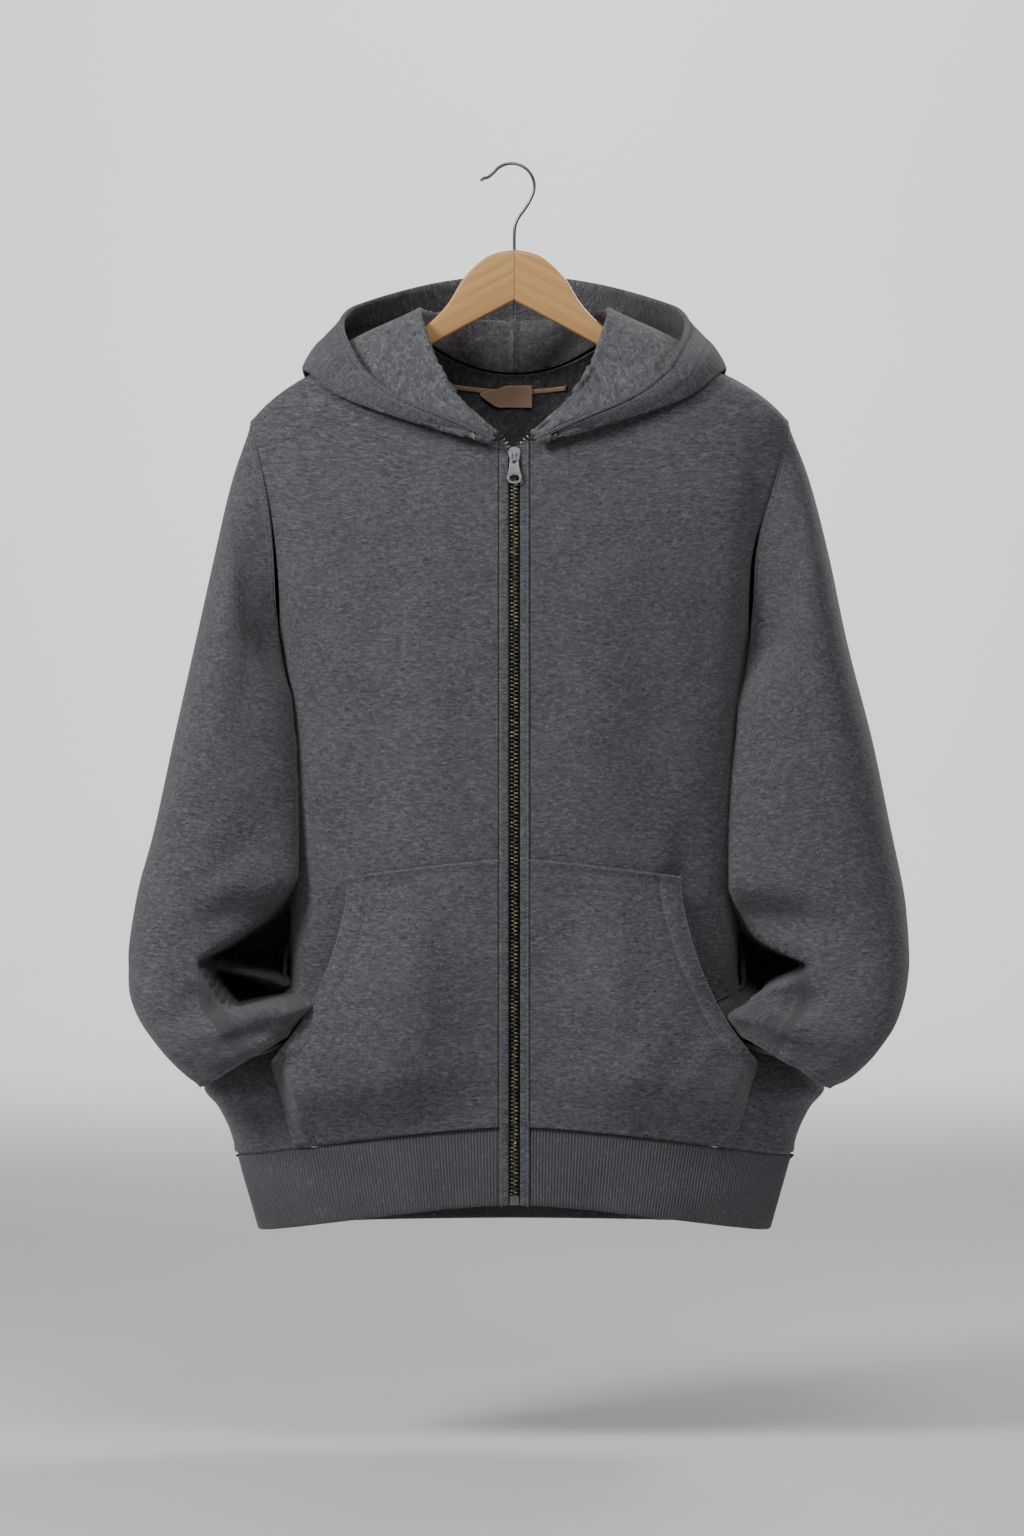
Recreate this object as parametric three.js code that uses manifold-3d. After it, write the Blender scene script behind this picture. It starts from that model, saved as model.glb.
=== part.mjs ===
// Full-zip hooded sweatshirt, filled out with nobody in it, on a wooden hanger.
// Millimetres, +Z up. The zip faces -Y. The origin is the inside top of the hanger's
// hook, where the hook rests on whatever carries it. Left and right are as seen from
// the front, so left is -X.

import * as THREE from 'three';
import { mergeVertices } from 'three/addons/utils/BufferGeometryUtils.js';
import Module from 'manifold-3d';

const wasm = await Module();
wasm.setup();

// ---------------------------------------------------------------- driving dimensions

const CLOTH = 2;            // brushed fleece wall
const SEAM = 0.3;           // gap between two pieces at a seam
const ROUNDNESS = 2.5;      // exponent of the torso's rounded sections

const NECK_HALF = 90;       // side of the neck, where the shoulder seam starts
const NECK_SIDE_Z = -142;
const NECK_BACK_Z = -176;
const SHOULDER_X = 228;     // end of the shoulder seam
const SHOULDER_Z = -223;
const SHOULDER_EXTRA = 9;   // the right shoulder sits a little further out
const ARMPIT_X = 205;
const ARMPIT_Z = -421;
const ARMPIT_ROW_Z = -350;  // centre height of the row that ends at the armpit

const ZIP_TOP_Z = -241;
const FRONT_EDGE = 13.3;    // where the front panels stop beside the zip strips
const HEM_FRONT_Z = -821;   // hem seam: centre front, centre back and side
const HEM_BACK_Z = -847;
const HEM_SIDE_Z = -850;
const BAND_FRONT_Z = -887.5;
const BAND_BACK_Z = -912;
const BAND_SIDE_Z = -914;

const POCKET_LIFT = 26;     // how far the pocket stands off where the cuff goes in
const POCKET_TOP_Z = -595;
const POCKET_TOP_DROP = 15;
const POCKET_GAP = 1;
const POCKET_RISE = 14;     // distance from the sewn side in which it stands off fully

const GUARD = { inner: 4.8, outer: 13, proud: 0.8, overPocket: 3 };
const TAPE = { inner: 4.3, outer: 15, behind: 2.4, thick: 0.8 };
const CHAIN = { half: 4, behind: 0.2, thick: 3 };
const ZIP_BOX = { top: -879.3, bottom: -887, proud: 0.6 };

const WIRE = 1.4;           // radius of the hook's wire
const WOOD = { depth: 12, bevel: 2, tipX: 204, gap: 1.3, bore: 1.75 };

const COLOURS = {
  fleece: 0x4c4c50,
  rib: 0x3f3f43,
  tape: 0x2b2b2e,
  brass: 0x6b5f42,
  steel: 0xb4b4b6,
  wood: 0xc3914f,
  label: 0xd2aa8c,
};

// ---------------------------------------------------------------------------- tables

const table = (columns, rows) =>
  rows.map((row) => Object.fromEntries(columns.map((name, k) => [name, row[k]])));

// Torso sections from the shoulder ridge down to the bottom of the band: half width,
// and how far the front and the back stand off the side seam's plane.
const TORSO = table(['z', 'halfWidth', 'front', 'back'], [
  [-142, 90, 0, 0],
  [-150, 108, 19, 26],
  [-160, 130, 30, 42],
  [-176, 165, 44, 57],
  [-188, 190, 52, 62],
  [-201, 209, 60, 67],
  [-223, 228, 68, 72],
  [-260, 228, 78, 77],
  [-300, 226, 85, 80],
  [-345, 222, 90, 82],
  [-390, 213, 93, 83],
  [-425, 205, 95, 84],
  [-505, 198, 98, 87],
  [-612, 192, 101, 88],
  [-675, 192, 102, 88],
  [-700, 192.5, 102, 88],
  [-715, 196, 102, 88],
  [-730, 206, 102, 88],
  [-745, 222, 101, 88],
  [-760, 240, 100, 87],
  [-792, 266, 96, 86],
  [-809, 254, 95, 85],
  [-829, 244, 94, 84],
  [-850, 238, 92, 83],
  [-914, 220, 86, 80],
]);

// Rows of the yoke, shoulder seam to armpit. neck runs 0 to 1 down the front neckline,
// then frontZ takes over beside the zip; armhole runs 0 to 1 round the armhole. The
// second row lies close to the ridge, which is round over the hanger's arms.
const YOKE = table(['neck', 'frontZ', 'armhole'], [
  [0, null, 0],
  [0.05, null, 0.05],
  [0.25, null, 0.15],
  [0.5, null, 0.28],
  [0.75, null, 0.42],
  [1, null, 0.57],
  [null, -268, 0.72],
  [null, -305, 0.87],
  [null, ARMPIT_ROW_Z, 1],
]);

// Rows below the armpit: height at centre front, centre back and side seam.
const BODY = table(['front', 'back', 'side'], [
  [-415, -415, -462],
  [-480, -480, -510],
  [-545, -545, -562],
  [-605, -605, -614],
  [-650, -652, -658],
  [-690, -694, -702],
  [-725, -732, -742],
  [-755, -764, -772],
  [-780, -794, -795],
  [-802, -822, -822],
  [HEM_FRONT_Z, HEM_BACK_Z, HEM_SIDE_Z],
]);

// Sleeve rings below the armhole: the outline's outer and inner points, and the centre
// and half depth across it. crease is where the elbow fold's edge stands in front of the
// inner point: behind it the cloth runs on at the back of the sleeve.
const RING = ['outX', 'outZ', 'inX', 'inZ', 'y', 'depth', 'crease'];
const SLEEVES = {
  left: table(RING, [
    [243, -272, 210, -451, 8, 62, 0],
    [258, -337, 208.6, -477, 6, 76, 0],
    [275, -417, 206, -507, 4, 82, 0],
    [292, -494, 202, -546, 0, 80, 0],
    [309, -572, 197.5, -588, -6, 76, 0],
    [320.5, -615, 197.5, -617, -12, 73, 0],
    [326, -645, 197, -641, -20, 71, 213],
    [329, -670, 197, -662, -28, 68, 237],
    [329, -687, 197, -676, -34, 68, 258],
    [327, -712, 197, -690, -44, 64, 245],
    [316.5, -735, 199, -706, -56, 57, 218],
    [295.5, -760, 193.5, -716, -77, 47, 0],
    [277, -778, 190.5, -730, -85, 35, 0],
    [262, -788, 191.5, -745, -89, 22, 0],
  ]),
  right: table(RING, [
    [253.6, -270, 212, -452, 8, 62, 0],
    [270.5, -336, 211, -478, 6, 76, 0],
    [287, -417, 208, -508, 4, 82, 0],
    [307, -494, 203, -546, 0, 80, 0],
    [322, -566, 198, -588, -6, 76, 0],
    [333, -620, 197.5, -620, -12, 73, 0],
    [336, -648, 197, -645, -20, 71, 208],
    [337, -672, 197, -665, -28, 68, 227],
    [336.5, -690, 197, -679, -34, 67, 246],
    [332, -714, 197, -692, -44, 63, 232],
    [322, -738, 199, -707, -56, 57, 210],
    [302, -763, 191.5, -718, -77, 47, 0],
    [282, -781, 189.5, -731, -85, 35, 0],
    [263, -788.5, 191.5, -745, -89, 22, 0],
  ]),
};
const CREASE = { back: 45, slope: 18, flap: 16 };
const NESTLE = { reach: 28, clear: 9, top: -440, bottom: -640 };

// Cuff rings, from inside the sleeve's mouth to behind the pocket's opening edge.
const CUFF = table(RING, [
  [225, -755, 202, -741, -85, 9, 0],
  [218, -761.3, 199, -749.6, -82, 8, 0],
  [183, -752, 164, -738, -87, 7, 0],
  [165, -772, 141, -747, -98, 8, 0],
]);

// Curved opening edge of the pocket and, below its lowest row but four, the sewn side.
const POCKET_EDGE = table(['z', 'x'], [
  [-610, 141],
  [-633, 143],
  [-667, 151],
  [-696, 161],
  [-724, 174.5],
  [-743, 187],
  [-754, 196],
  [-763, 203],
  [-769, 206],
  [-794, 198],
  [-818, 192],
  [-838, 187],
]);
const POCKET_CORNER = { x: 206, z: -769 };

// Hood sections from the zip round to the centre back: the ridge over the neck, the
// bottom fold that lies on the shoulders and back, the opening rim, and how far the
// outer layer swells. neck runs 0 to 1 from the zip to the side, 1 to 2 to the back.
const HOOD = table(
  ['neck', 'rx', 'ry', 'rz', 'bx', 'by', 'bz', 'ex', 'ey', 'ez', 'puff'],
  [
    [0, 15, -78, -235, 19.5, -80.5, -243, 15.5, -86.5, -240.5, 1],
    [0.3, 33.4, -75, -219, 64, -78, -231, 44, -86, -227, 2],
    [0.55, 54.3, -63, -196, 112, -69, -217, 92, -78, -206, 4],
    [0.78, 69.4, -42, -167, 151, -53, -200, 124.3, -62, -182.5, 6],
    [0.92, 78.7, -18, -138.5, 175, -20, -180, 138.5, -36, -160, 7],
    [1, 82, 5, -123.6, 181, 12, -177, 146.4, 2, -138, 7],
    [1.2, 77, 25, -123, 172, 52, -196, 143, 34, -121.5, 10],
    [1.45, 61, 46, -123.5, 140, 86, -244, 122, 72, -108.5, 20],
    [1.7, 36, 63, -125.5, 82, 97, -304, 77, 101, -93.5, 30],
    [1.88, 14, 69.5, -127, 32, 101, -330, 32, 116.5, -85, 35],
    [2, 0, 71, -127, 0, 102, -335, 0, 120, -82.7, 36],
  ],
);

// --------------------------------------------------------------------------- helpers

const vec = (x, y, z) => new THREE.Vector3(x, y, z);

const mix = (a, b, t) => a + (b - a) * t;

const signedPower = (value, power) => Math.sign(value) * Math.abs(value) ** power;

function smooth(value) {
  return THREE.MathUtils.smoothstep(value, 0, 1);
}

// One column of a table at a place between its rows, on a smooth curve through them.
function along(rows, key, at, column) {
  const rising = rows[rows.length - 1][key] > rows[0][key];
  let k = rows.findIndex((row) => (rising ? row[key] >= at : row[key] <= at));
  k = k < 0 ? rows.length - 1 : Math.max(k, 1);
  const before = rows[k - 1];
  const after = rows[k];
  const slope = (a, b) => (b[column] - a[column]) / (b[key] - a[key]);
  const step = after[key] - before[key];
  const t = THREE.MathUtils.clamp((at - before[key]) / step, 0, 1);
  const slopeIn = slope(rows[Math.max(k - 2, 0)], after) * step;
  const slopeOut = slope(before, rows[Math.min(k + 1, rows.length - 1)]) * step;
  return before[column] * (2 * t ** 3 - 3 * t ** 2 + 1) + slopeIn * (t ** 3 - 2 * t ** 2 + t)
    + after[column] * (3 * t ** 2 - 2 * t ** 3) + slopeOut * (t ** 3 - t ** 2);
}

// Direction square to a grid of points at one of them.
function squareTo(grid, row, column, loop) {
  const count = grid[0].length;
  const left = loop ? (column + count - 1) % count : Math.max(column - 1, 0);
  const right = loop ? (column + 1) % count : Math.min(column + 1, count - 1);
  const across = grid[row][right].clone().sub(grid[row][left]);
  const above = grid[Math.max(row - 1, 0)][column];
  const below = grid[Math.min(row + 1, grid.length - 1)][column];
  return across.cross(below.clone().sub(above)).normalize();
}

// A closed wall of cloth on a grid of points. front and behind are its distances to the
// two sides of the grid; flat(row, column) names the axes that the thickness keeps off.
function wall(grid, front, behind, { loop = false, flat = () => '' } = {}) {
  const rows = grid.length;
  const columns = grid[0].length;
  const layers = [front, -behind];
  const positions = [];
  for (const distance of layers) {
    grid.forEach((points, row) => points.forEach((point, column) => {
      const normal = squareTo(grid, row, column, loop);
      for (const axis of flat(row, column)) normal[axis] = 0;
      positions.push(...point.clone().addScaledVector(normal.normalize(), distance));
    }));
  }
  const at = (layer, row, column) => (layer * rows + row) * columns + (column % columns);
  const faces = [];
  const quad = (a, b, c, d) => faces.push(a, b, c, a, c, d);
  const spans = loop ? columns : columns - 1;
  for (let row = 0; row < rows - 1; row += 1) {
    for (let column = 0; column < spans; column += 1) {
      quad(at(0, row, column), at(0, row, column + 1), at(0, row + 1, column + 1), at(0, row + 1, column));
      quad(at(1, row, column), at(1, row + 1, column), at(1, row + 1, column + 1), at(1, row, column + 1));
    }
  }
  for (let column = 0; column < spans; column += 1) {
    const last = rows - 1;
    quad(at(0, 0, column), at(1, 0, column), at(1, 0, column + 1), at(0, 0, column + 1));
    quad(at(0, last, column), at(0, last, column + 1), at(1, last, column + 1), at(1, last, column));
  }
  if (!loop) {
    for (let row = 0; row < rows - 1; row += 1) {
      const last = columns - 1;
      quad(at(0, row, 0), at(0, row + 1, 0), at(1, row + 1, 0), at(1, row, 0));
      quad(at(0, row, last), at(1, row, last), at(1, row + 1, last), at(0, row + 1, last));
    }
  }
  const geometry = new THREE.BufferGeometry();
  geometry.setAttribute('position', new THREE.Float32BufferAttribute(positions, 3));
  geometry.setIndex(faces);
  return facingOut(geometry);
}

// The same geometry with its faces turned out, if they were not.
function facingOut(geometry) {
  const index = geometry.index.array;
  const corner = (k) => vec().fromBufferAttribute(geometry.attributes.position, index[k]);
  let volume = 0;
  for (let k = 0; k < index.length; k += 3) {
    volume += corner(k).dot(corner(k + 1).cross(corner(k + 2)));
  }
  if (volume < 0) geometry.setIndex(Array.from(index).reverse());
  return geometry;
}

function solid(geometry) {
  const bare = geometry.clone();
  bare.deleteAttribute('normal');
  bare.deleteAttribute('uv');
  const merged = mergeVertices(bare, 1e-4);
  return new wasm.Manifold(new wasm.Mesh({
    numProp: 3,
    vertProperties: new Float32Array(merged.attributes.position.array),
    triVerts: new Uint32Array(merged.index.array),
  }));
}

function fromSolid(body) {
  const { vertProperties, triVerts } = body.getMesh();
  const geometry = new THREE.BufferGeometry();
  geometry.setAttribute('position', new THREE.BufferAttribute(vertProperties, 3));
  geometry.setIndex(new THREE.BufferAttribute(triVerts, 1));
  return geometry;
}

function box(x0, x1, y0, y1, z0, z1) {
  const geometry = new THREE.BoxGeometry(x1 - x0, y1 - y0, z1 - z0);
  return geometry.translate((x0 + x1) / 2, (y0 + y1) / 2, (z0 + z1) / 2);
}

const garment = new THREE.Group();

function add(name, geometry, colour, { roughness = 0.95, metalness = 0, parent = garment } = {}) {
  const material = new THREE.MeshStandardMaterial({ color: colour, roughness, metalness });
  const mesh = new THREE.Mesh(geometry, material);
  mesh.name = name;
  parent.add(mesh);
  return mesh;
}

const SIDES = [{ name: 'left', sign: -1 }, { name: 'right', sign: 1 }];

// ------------------------------------------------------------------ torso's own shape

// How far the torso's surface stands off the side seam's plane: front is -Y.
function torsoY(face, x, z) {
  const half = along(TORSO, 'z', z, 'halfWidth');
  const side = Math.min(Math.abs(x) / half, 1);
  const depth = along(TORSO, 'z', z, face) * (1 - side ** ROUNDNESS) ** (1 / ROUNDNESS);
  const y = Math.max(depth, SEAM / 2);
  return face === 'front' ? -y : y;
}

// A point of the torso. The right shoulder is moved out a little at the end.
function torsoPoint(face, x, z, y = torsoY(face, x, z)) {
  const out = smooth((x - NECK_HALF) / (SHOULDER_X - NECK_HALF));
  const high = smooth((z - ARMPIT_ROW_Z) / 90);
  return vec(x + SHOULDER_EXTRA * out * high, y, z);
}

// The shoulder seam falls gently, then quickly at its end.
function shoulderZ(x) {
  const s = Math.max((Math.abs(x) - NECK_HALF) / (SHOULDER_X - NECK_HALF), 0);
  return NECK_SIDE_Z + (SHOULDER_Z - NECK_SIDE_Z) * (0.74 * s + 0.26 * s ** 6);
}

// Front neckline, from the side of the neck (0) to the top of the zip (1).
function necklineXZ(t) {
  const angle = t * Math.PI / 2;
  return {
    x: FRONT_EDGE + (NECK_HALF - FRONT_EDGE) * Math.cos(angle) ** 1.48,
    z: NECK_SIDE_Z + (ZIP_TOP_Z - NECK_SIDE_Z) * Math.sin(angle) ** 1.48,
  };
}

// Back neckline, its height at a distance from the centre.
function backNeckZ(x) {
  return mix(NECK_BACK_Z, NECK_SIDE_Z, (Math.abs(x) / NECK_HALF) ** 2);
}

// Armhole, from the shoulder point (0) to the armpit (1).
function armholeXZ(t) {
  const high = (1 + Math.cos(t * Math.PI)) / 2;
  return {
    x: mix(ARMPIT_X, SHOULDER_X, high ** 3),
    z: mix(ARMPIT_Z, SHOULDER_Z, high),
  };
}

// Spacing of a row's points, closer where the section turns round to the side.
const spread = (u) => Math.sin(u * Math.PI / 2) ** (2 / ROUNDNESS);

// Height on the hem seam or on the band's lower edge.
const edgeZ = (centre, side, s) => mix(centre, side, s ** 1.3);

// ---------------------------------------------------------------------------- panels

// The thickness keeps off Y along the shoulder and side seams, and off Z along the hem,
// where the panels meet their neighbours.
const keepOffSeam = (grid) => (row, column) => {
  const onSide = Math.abs(grid[row][column].y) <= SEAM / 2 + 1e-6;
  const onHem = row === grid.length - 1;
  return (onSide ? 'y' : '') + (onHem ? 'z' : '');
};

// A panel's wall lies inside its grid. On a mirrored grid the direction square to it
// points in, so the thickness goes the other way.
function panel(grid, squarePointsOut, options = {}) {
  return squarePointsOut ? wall(grid, 0, CLOTH, options) : wall(grid, CLOTH, 0, options);
}

function frontPanel(sign) {
  const steps = 8;
  const stations = Array.from({ length: steps + 1 }, (_, k) => spread(k / steps));
  const grid = YOKE.map(({ neck, frontZ, armhole }, index) => {
    const inner = neck === null ? { x: FRONT_EDGE, z: frontZ } : necklineXZ(neck);
    const outer = armholeXZ(armhole);
    return stations.map((s) => {
      const x = mix(inner.x, outer.x, s);
      const fall = mix(0.74 * s + 0.26 * s ** 6, s ** 1.6, index / YOKE.length);
      const z = index ? mix(inner.z, outer.z, fall) : shoulderZ(x);
      return torsoPoint('front', sign * x, z, index ? undefined : -SEAM / 2);
    });
  });
  for (const { front, side } of BODY) {
    const width = along(TORSO, 'z', side, 'halfWidth');
    grid.push(stations.map((s) => {
      const x = mix(FRONT_EDGE, width, s);
      return torsoPoint('front', sign * x, edgeZ(front, side, s), s < 1 ? undefined : -SEAM / 2);
    }));
  }
  return panel(grid, sign < 0, { flat: keepOffSeam(grid) });
}

function backPanel() {
  const half = [0.13, 0.25, 0.34, NECK_HALF / SHOULDER_X, 0.56, 0.72, 0.86, 0.95, 1];
  const stations = [...half.map((s) => -s).reverse(), 0, ...half];
  const grid = YOKE.map(({ armhole }) => {
    const outer = armholeXZ(armhole);
    const low = (1 - Math.cos(armhole * Math.PI)) / 2;
    return stations.map((signed) => {
      const s = Math.abs(signed);
      const top = s * SHOULDER_X < NECK_HALF ? backNeckZ(s * SHOULDER_X) : shoulderZ(s * SHOULDER_X);
      const z = mix(top, mix(ARMPIT_ROW_Z, ARMPIT_Z, s ** 1.6), low);
      const onSeam = s * SHOULDER_X >= NECK_HALF && low === 0;
      return torsoPoint('back', signed * outer.x, z, onSeam ? SEAM / 2 : undefined);
    });
  });
  for (const { back, side } of BODY) {
    const width = along(TORSO, 'z', side, 'halfWidth');
    grid.push(stations.map((signed) => {
      const s = Math.abs(signed);
      const z = edgeZ(back, side, s);
      return torsoPoint('back', signed * width, z, s < 1 ? undefined : SEAM / 2);
    }));
  }
  return panel(grid, true, { flat: keepOffSeam(grid) });
}

function hemBand() {
  const frontStations = Array.from({ length: 9 }, (_, k) => spread(k / 8));
  const backStations = Array.from({ length: 8 }, (_, k) => spread(k / 8)).reverse();
  const places = [
    ...frontStations.map((s) => ({ face: 'front', sign: -1, s })),
    ...backStations.map((s) => ({ face: 'back', sign: -1, s })),
    ...backStations.slice(0, -1).reverse().map((s) => ({ face: 'back', sign: 1, s })),
    ...frontStations.toReversed().map((s) => ({ face: 'front', sign: 1, s })),
  ];
  const grid = [0, 0.5, 1].map((low) => places.map(({ face, sign, s }) => {
    const front = face === 'front';
    const top = edgeZ(front ? HEM_FRONT_Z : HEM_BACK_Z, HEM_SIDE_Z, s) - SEAM;
    const bottom = edgeZ(front ? BAND_FRONT_Z : BAND_BACK_Z, BAND_SIDE_Z, s);
    const width = along(TORSO, 'z', mix(HEM_SIDE_Z, BAND_SIDE_Z, low), 'halfWidth');
    const z = mix(top, bottom, low);
    const x = sign * (front ? mix(FRONT_EDGE, width, s) : width * s);
    return torsoPoint(face, x, z, s < 1 ? undefined : 0);
  }));
  return panel(grid, true, { flat: () => 'z' });
}

// --------------------------------------------------------------------------- sleeves

// Places round a sleeve, from its outer point over the front, the inner point and the
// back: they are the yoke's rows, so the armhole's two edges have the same corners.
const TURNS = [
  ...YOKE.map(({ armhole }) => armhole / 2),
  ...YOKE.slice(1, -1).toReversed().map(({ armhole }) => 1 - armhole / 2),
];

// The sleeve hangs against the body: in front and behind, its inner side comes round the
// body's side as far as NESTLE.reach, and stays NESTLE.clear away from it.
function nestled(x, y, z, inward) {
  const level = Math.min(Math.abs(y) / along(TORSO, 'z', z, y < 0 ? 'front' : 'back'), 1);
  const body = along(TORSO, 'z', z, 'halfWidth') * (1 - level ** ROUNDNESS) ** (1 / ROUNDNESS);
  const reach = NESTLE.reach * smooth((inward - 0.6) / 0.35) * smooth((Math.abs(y) - 10) / 35)
    * smooth((NESTLE.top - z) / 45) * smooth((z - NESTLE.bottom) / 35);
  return Math.min(x, Math.max(x - reach, body + NESTLE.clear));
}

// A point round a ring: 0 at its outer point, a half turn to its inner point, front first.
// Inside a crease's edge the front cloth lies close to the cloth at the back.
function ringPoint(sign, ring, turn) {
  const angle = turn * 2 * Math.PI;
  const inward = (1 - signedPower(Math.cos(angle), 0.85)) / 2;
  const across = ring.depth * signedPower(Math.sin(angle), 0.85);
  const x = mix(ring.outX, ring.inX, inward);
  const z = mix(ring.outZ, ring.inZ, inward);
  const middle = ring.y + (ring.crease ? CREASE.back * inward ** 2 : 0);
  const folded = across > 0 ? smooth((ring.crease - x) / CREASE.slope) : 0;
  const back = middle + across - Math.min(CREASE.flap, 2 * across);
  const y = mix(middle - across, back, folded);
  return vec(sign * nestled(x, y, z, inward), y, z);
}

// The armhole's own loop, just outside the body's panels.
function armholePoint(sign, turn) {
  const t = turn <= 0.5 ? turn * 2 : 2 - turn * 2;
  const { x, z } = armholeXZ(t);
  const onEdge = t === 0 || t === 1;
  const point = torsoPoint(turn <= 0.5 ? 'front' : 'back', sign * x, z, onEdge ? 0 : undefined);
  point.x += sign * SEAM;
  return point;
}

function sleeve(sign, rings) {
  const grid = [TURNS.map((turn) => armholePoint(sign, turn))];
  for (const ring of rings) grid.push(TURNS.map((turn) => ringPoint(sign, ring, turn)));
  const flat = (row) => (row === 0 ? 'x' : '');
  return panel(grid, sign > 0, { loop: true, flat });
}

function cuff(sign) {
  const turns = Array.from({ length: 14 }, (_, k) => k / 14);
  const grid = CUFF.map((ring) => turns.map((turn) => ringPoint(sign, ring, turn)));
  return panel(grid, sign > 0, { loop: true });
}

// --------------------------------------------------------------------------- pockets

const pocketTopZ = (x) => POCKET_TOP_Z - POCKET_TOP_DROP * (x / POCKET_EDGE[0].x);

// How far the pocket stands off the front: more, the further from its sewn seams.
function pocketLift(x, z) {
  const toCorner = Math.hypot(POCKET_CORNER.x - x, Math.max(POCKET_CORNER.z - z, z - POCKET_CORNER.z));
  const toSide = z > POCKET_CORNER.z ? toCorner : along(POCKET_EDGE, 'z', z, 'x') - x;
  const hem = edgeZ(HEM_FRONT_Z, HEM_SIDE_Z, x / along(TORSO, 'z', HEM_SIDE_Z, 'halfWidth'));
  return POCKET_LIFT * smooth((pocketTopZ(x) - z) / 110) * smooth((z - hem) / 55)
    * smooth(toSide / POCKET_RISE) * smooth((x - FRONT_EDGE) / 90);
}

function pocket(sign) {
  const steps = 7;
  const first = POCKET_EDGE[0];
  const last = POCKET_EDGE[POCKET_EDGE.length - 1];
  const grid = POCKET_EDGE.map(({ x: edgeX, z: edgeZValue }) => {
    const low = (first.z - edgeZValue) / (first.z - last.z);
    const innerZ = mix(POCKET_TOP_Z, HEM_FRONT_Z, low);
    return Array.from({ length: steps + 1 }, (_, k) => {
      const s = k / steps;
      const x = mix(FRONT_EDGE, edgeX, s);
      const z = mix(innerZ, edgeZValue, s ** 1.2);
      const proud = POCKET_GAP + CLOTH + pocketLift(x, z);
      return vec(sign * x, torsoY('front', x, z) - proud, z);
    });
  });
  return panel(grid, sign < 0);
}

// ------------------------------------------------------------------------------- zip

// The heights where the front edge changes slope, so that the zip follows its facets.
const ZIP_ROWS = [
  ZIP_TOP_Z - 1, -268, -305, ARMPIT_ROW_Z, -415, -480, -545, POCKET_TOP_Z + 4, POCKET_TOP_Z - 3,
  -650, -690, -725, -755, -780, -802, HEM_FRONT_Z + 3, HEM_FRONT_Z - 3, -855, BAND_FRONT_Z,
];

// A strip beside or on the zip, front face proud of the torso's surface by proud(z).
function strip(sign, x0, x1, heights, proud, thick) {
  const grid = heights.map((z) => [x0, x1].map((x) => (
    vec(sign * x, -along(TORSO, 'z', z, 'front') - proud(z), z))));
  const pointsOut = (sign < 0) === (x1 > x0);
  return pointsOut ? wall(grid, 0, thick, { flat: () => 'z' }) : wall(grid, thick, 0, { flat: () => 'z' });
}

const between = (top, bottom) => [top, ...ZIP_ROWS.filter((z) => z < top - 1 && z > bottom + 1), bottom];

function guardProud(z) {
  return z < POCKET_TOP_Z && z > HEM_FRONT_Z ? GUARD.overPocket : GUARD.proud;
}

// The slider's plate, with shoulders that are wider than its foot.
function sliderPlate(y, thick) {
  const shape = new THREE.Shape();
  shape.moveTo(-3.9, -7);
  shape.lineTo(3.9, -7);
  shape.quadraticCurveTo(4.2, -2, 5, 1);
  shape.lineTo(5, 4);
  shape.quadraticCurveTo(4.6, 7.6, 0, 7.8);
  shape.quadraticCurveTo(-4.6, 7.6, -5, 4);
  shape.lineTo(-5, 1);
  shape.quadraticCurveTo(-4.2, -2, -3.9, -7);
  const plate = new THREE.ExtrudeGeometry(shape, { depth: thick, bevelEnabled: false, curveSegments: 4 });
  return plate.rotateX(Math.PI / 2).translate(0, y + thick, 0);
}

// Plates in front of and behind the teeth, the wedge that parts them, and the bridge.
function slider() {
  const front = sliderPlate(-2.5, 1.3);
  const back = sliderPlate(3.6, 1.1);
  const wedge = box(-2.2, 2.2, -1.4, 3.8, 3.6, 7.2);
  const legTop = box(-1.1, 1.1, -5.6, -2.3, 2.2, 3.7);
  const legBottom = box(-1.1, 1.1, -5.6, -2.3, -5.5, -4);
  const bar = box(-1.1, 1.1, -5.6, -4.5, -5.5, 3.7);
  const parts = [front, back, wedge, legTop, legBottom, bar].map(solid);
  return fromSolid(parts.reduce((sum, part) => sum.add(part)));
}

// The pull tab hangs from its top bar, which runs through the bridge at height 1.
function pullTab() {
  const shape = new THREE.Shape();
  shape.moveTo(-3.4, 1.65);
  shape.lineTo(3.4, 1.65);
  shape.quadraticCurveTo(4, 1.4, 4, 0);
  shape.lineTo(4, -8);
  shape.quadraticCurveTo(4.6, -14, 6.4, -19);
  shape.quadraticCurveTo(7, -25.3, 0, -25.3);
  shape.quadraticCurveTo(-7, -25.3, -6.4, -19);
  shape.quadraticCurveTo(-4.6, -14, -4, -8);
  shape.lineTo(-4, 0);
  shape.quadraticCurveTo(-4, 1.4, -3.4, 1.65);
  const options = { depth: 1.1, bevelEnabled: false, curveSegments: 6 };
  const upright = (outline, depth, y) => solid(
    new THREE.ExtrudeGeometry(outline, { ...options, depth }).rotateX(Math.PI / 2).translate(0, y, 0));
  const grip = new THREE.Shape().absellipse(0, -20.4, 4.2, 2.9, 0, Math.PI * 2);
  const windowHole = solid(box(-1.75, 1.75, -5, -1, -7.2, 0.35));
  const tab = upright(shape, options.depth, -2.95);
  return fromSolid(tab.subtract(windowHole).subtract(upright(grip, 4, -1)));
}

// ------------------------------------------------------------------------------ hood

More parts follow.
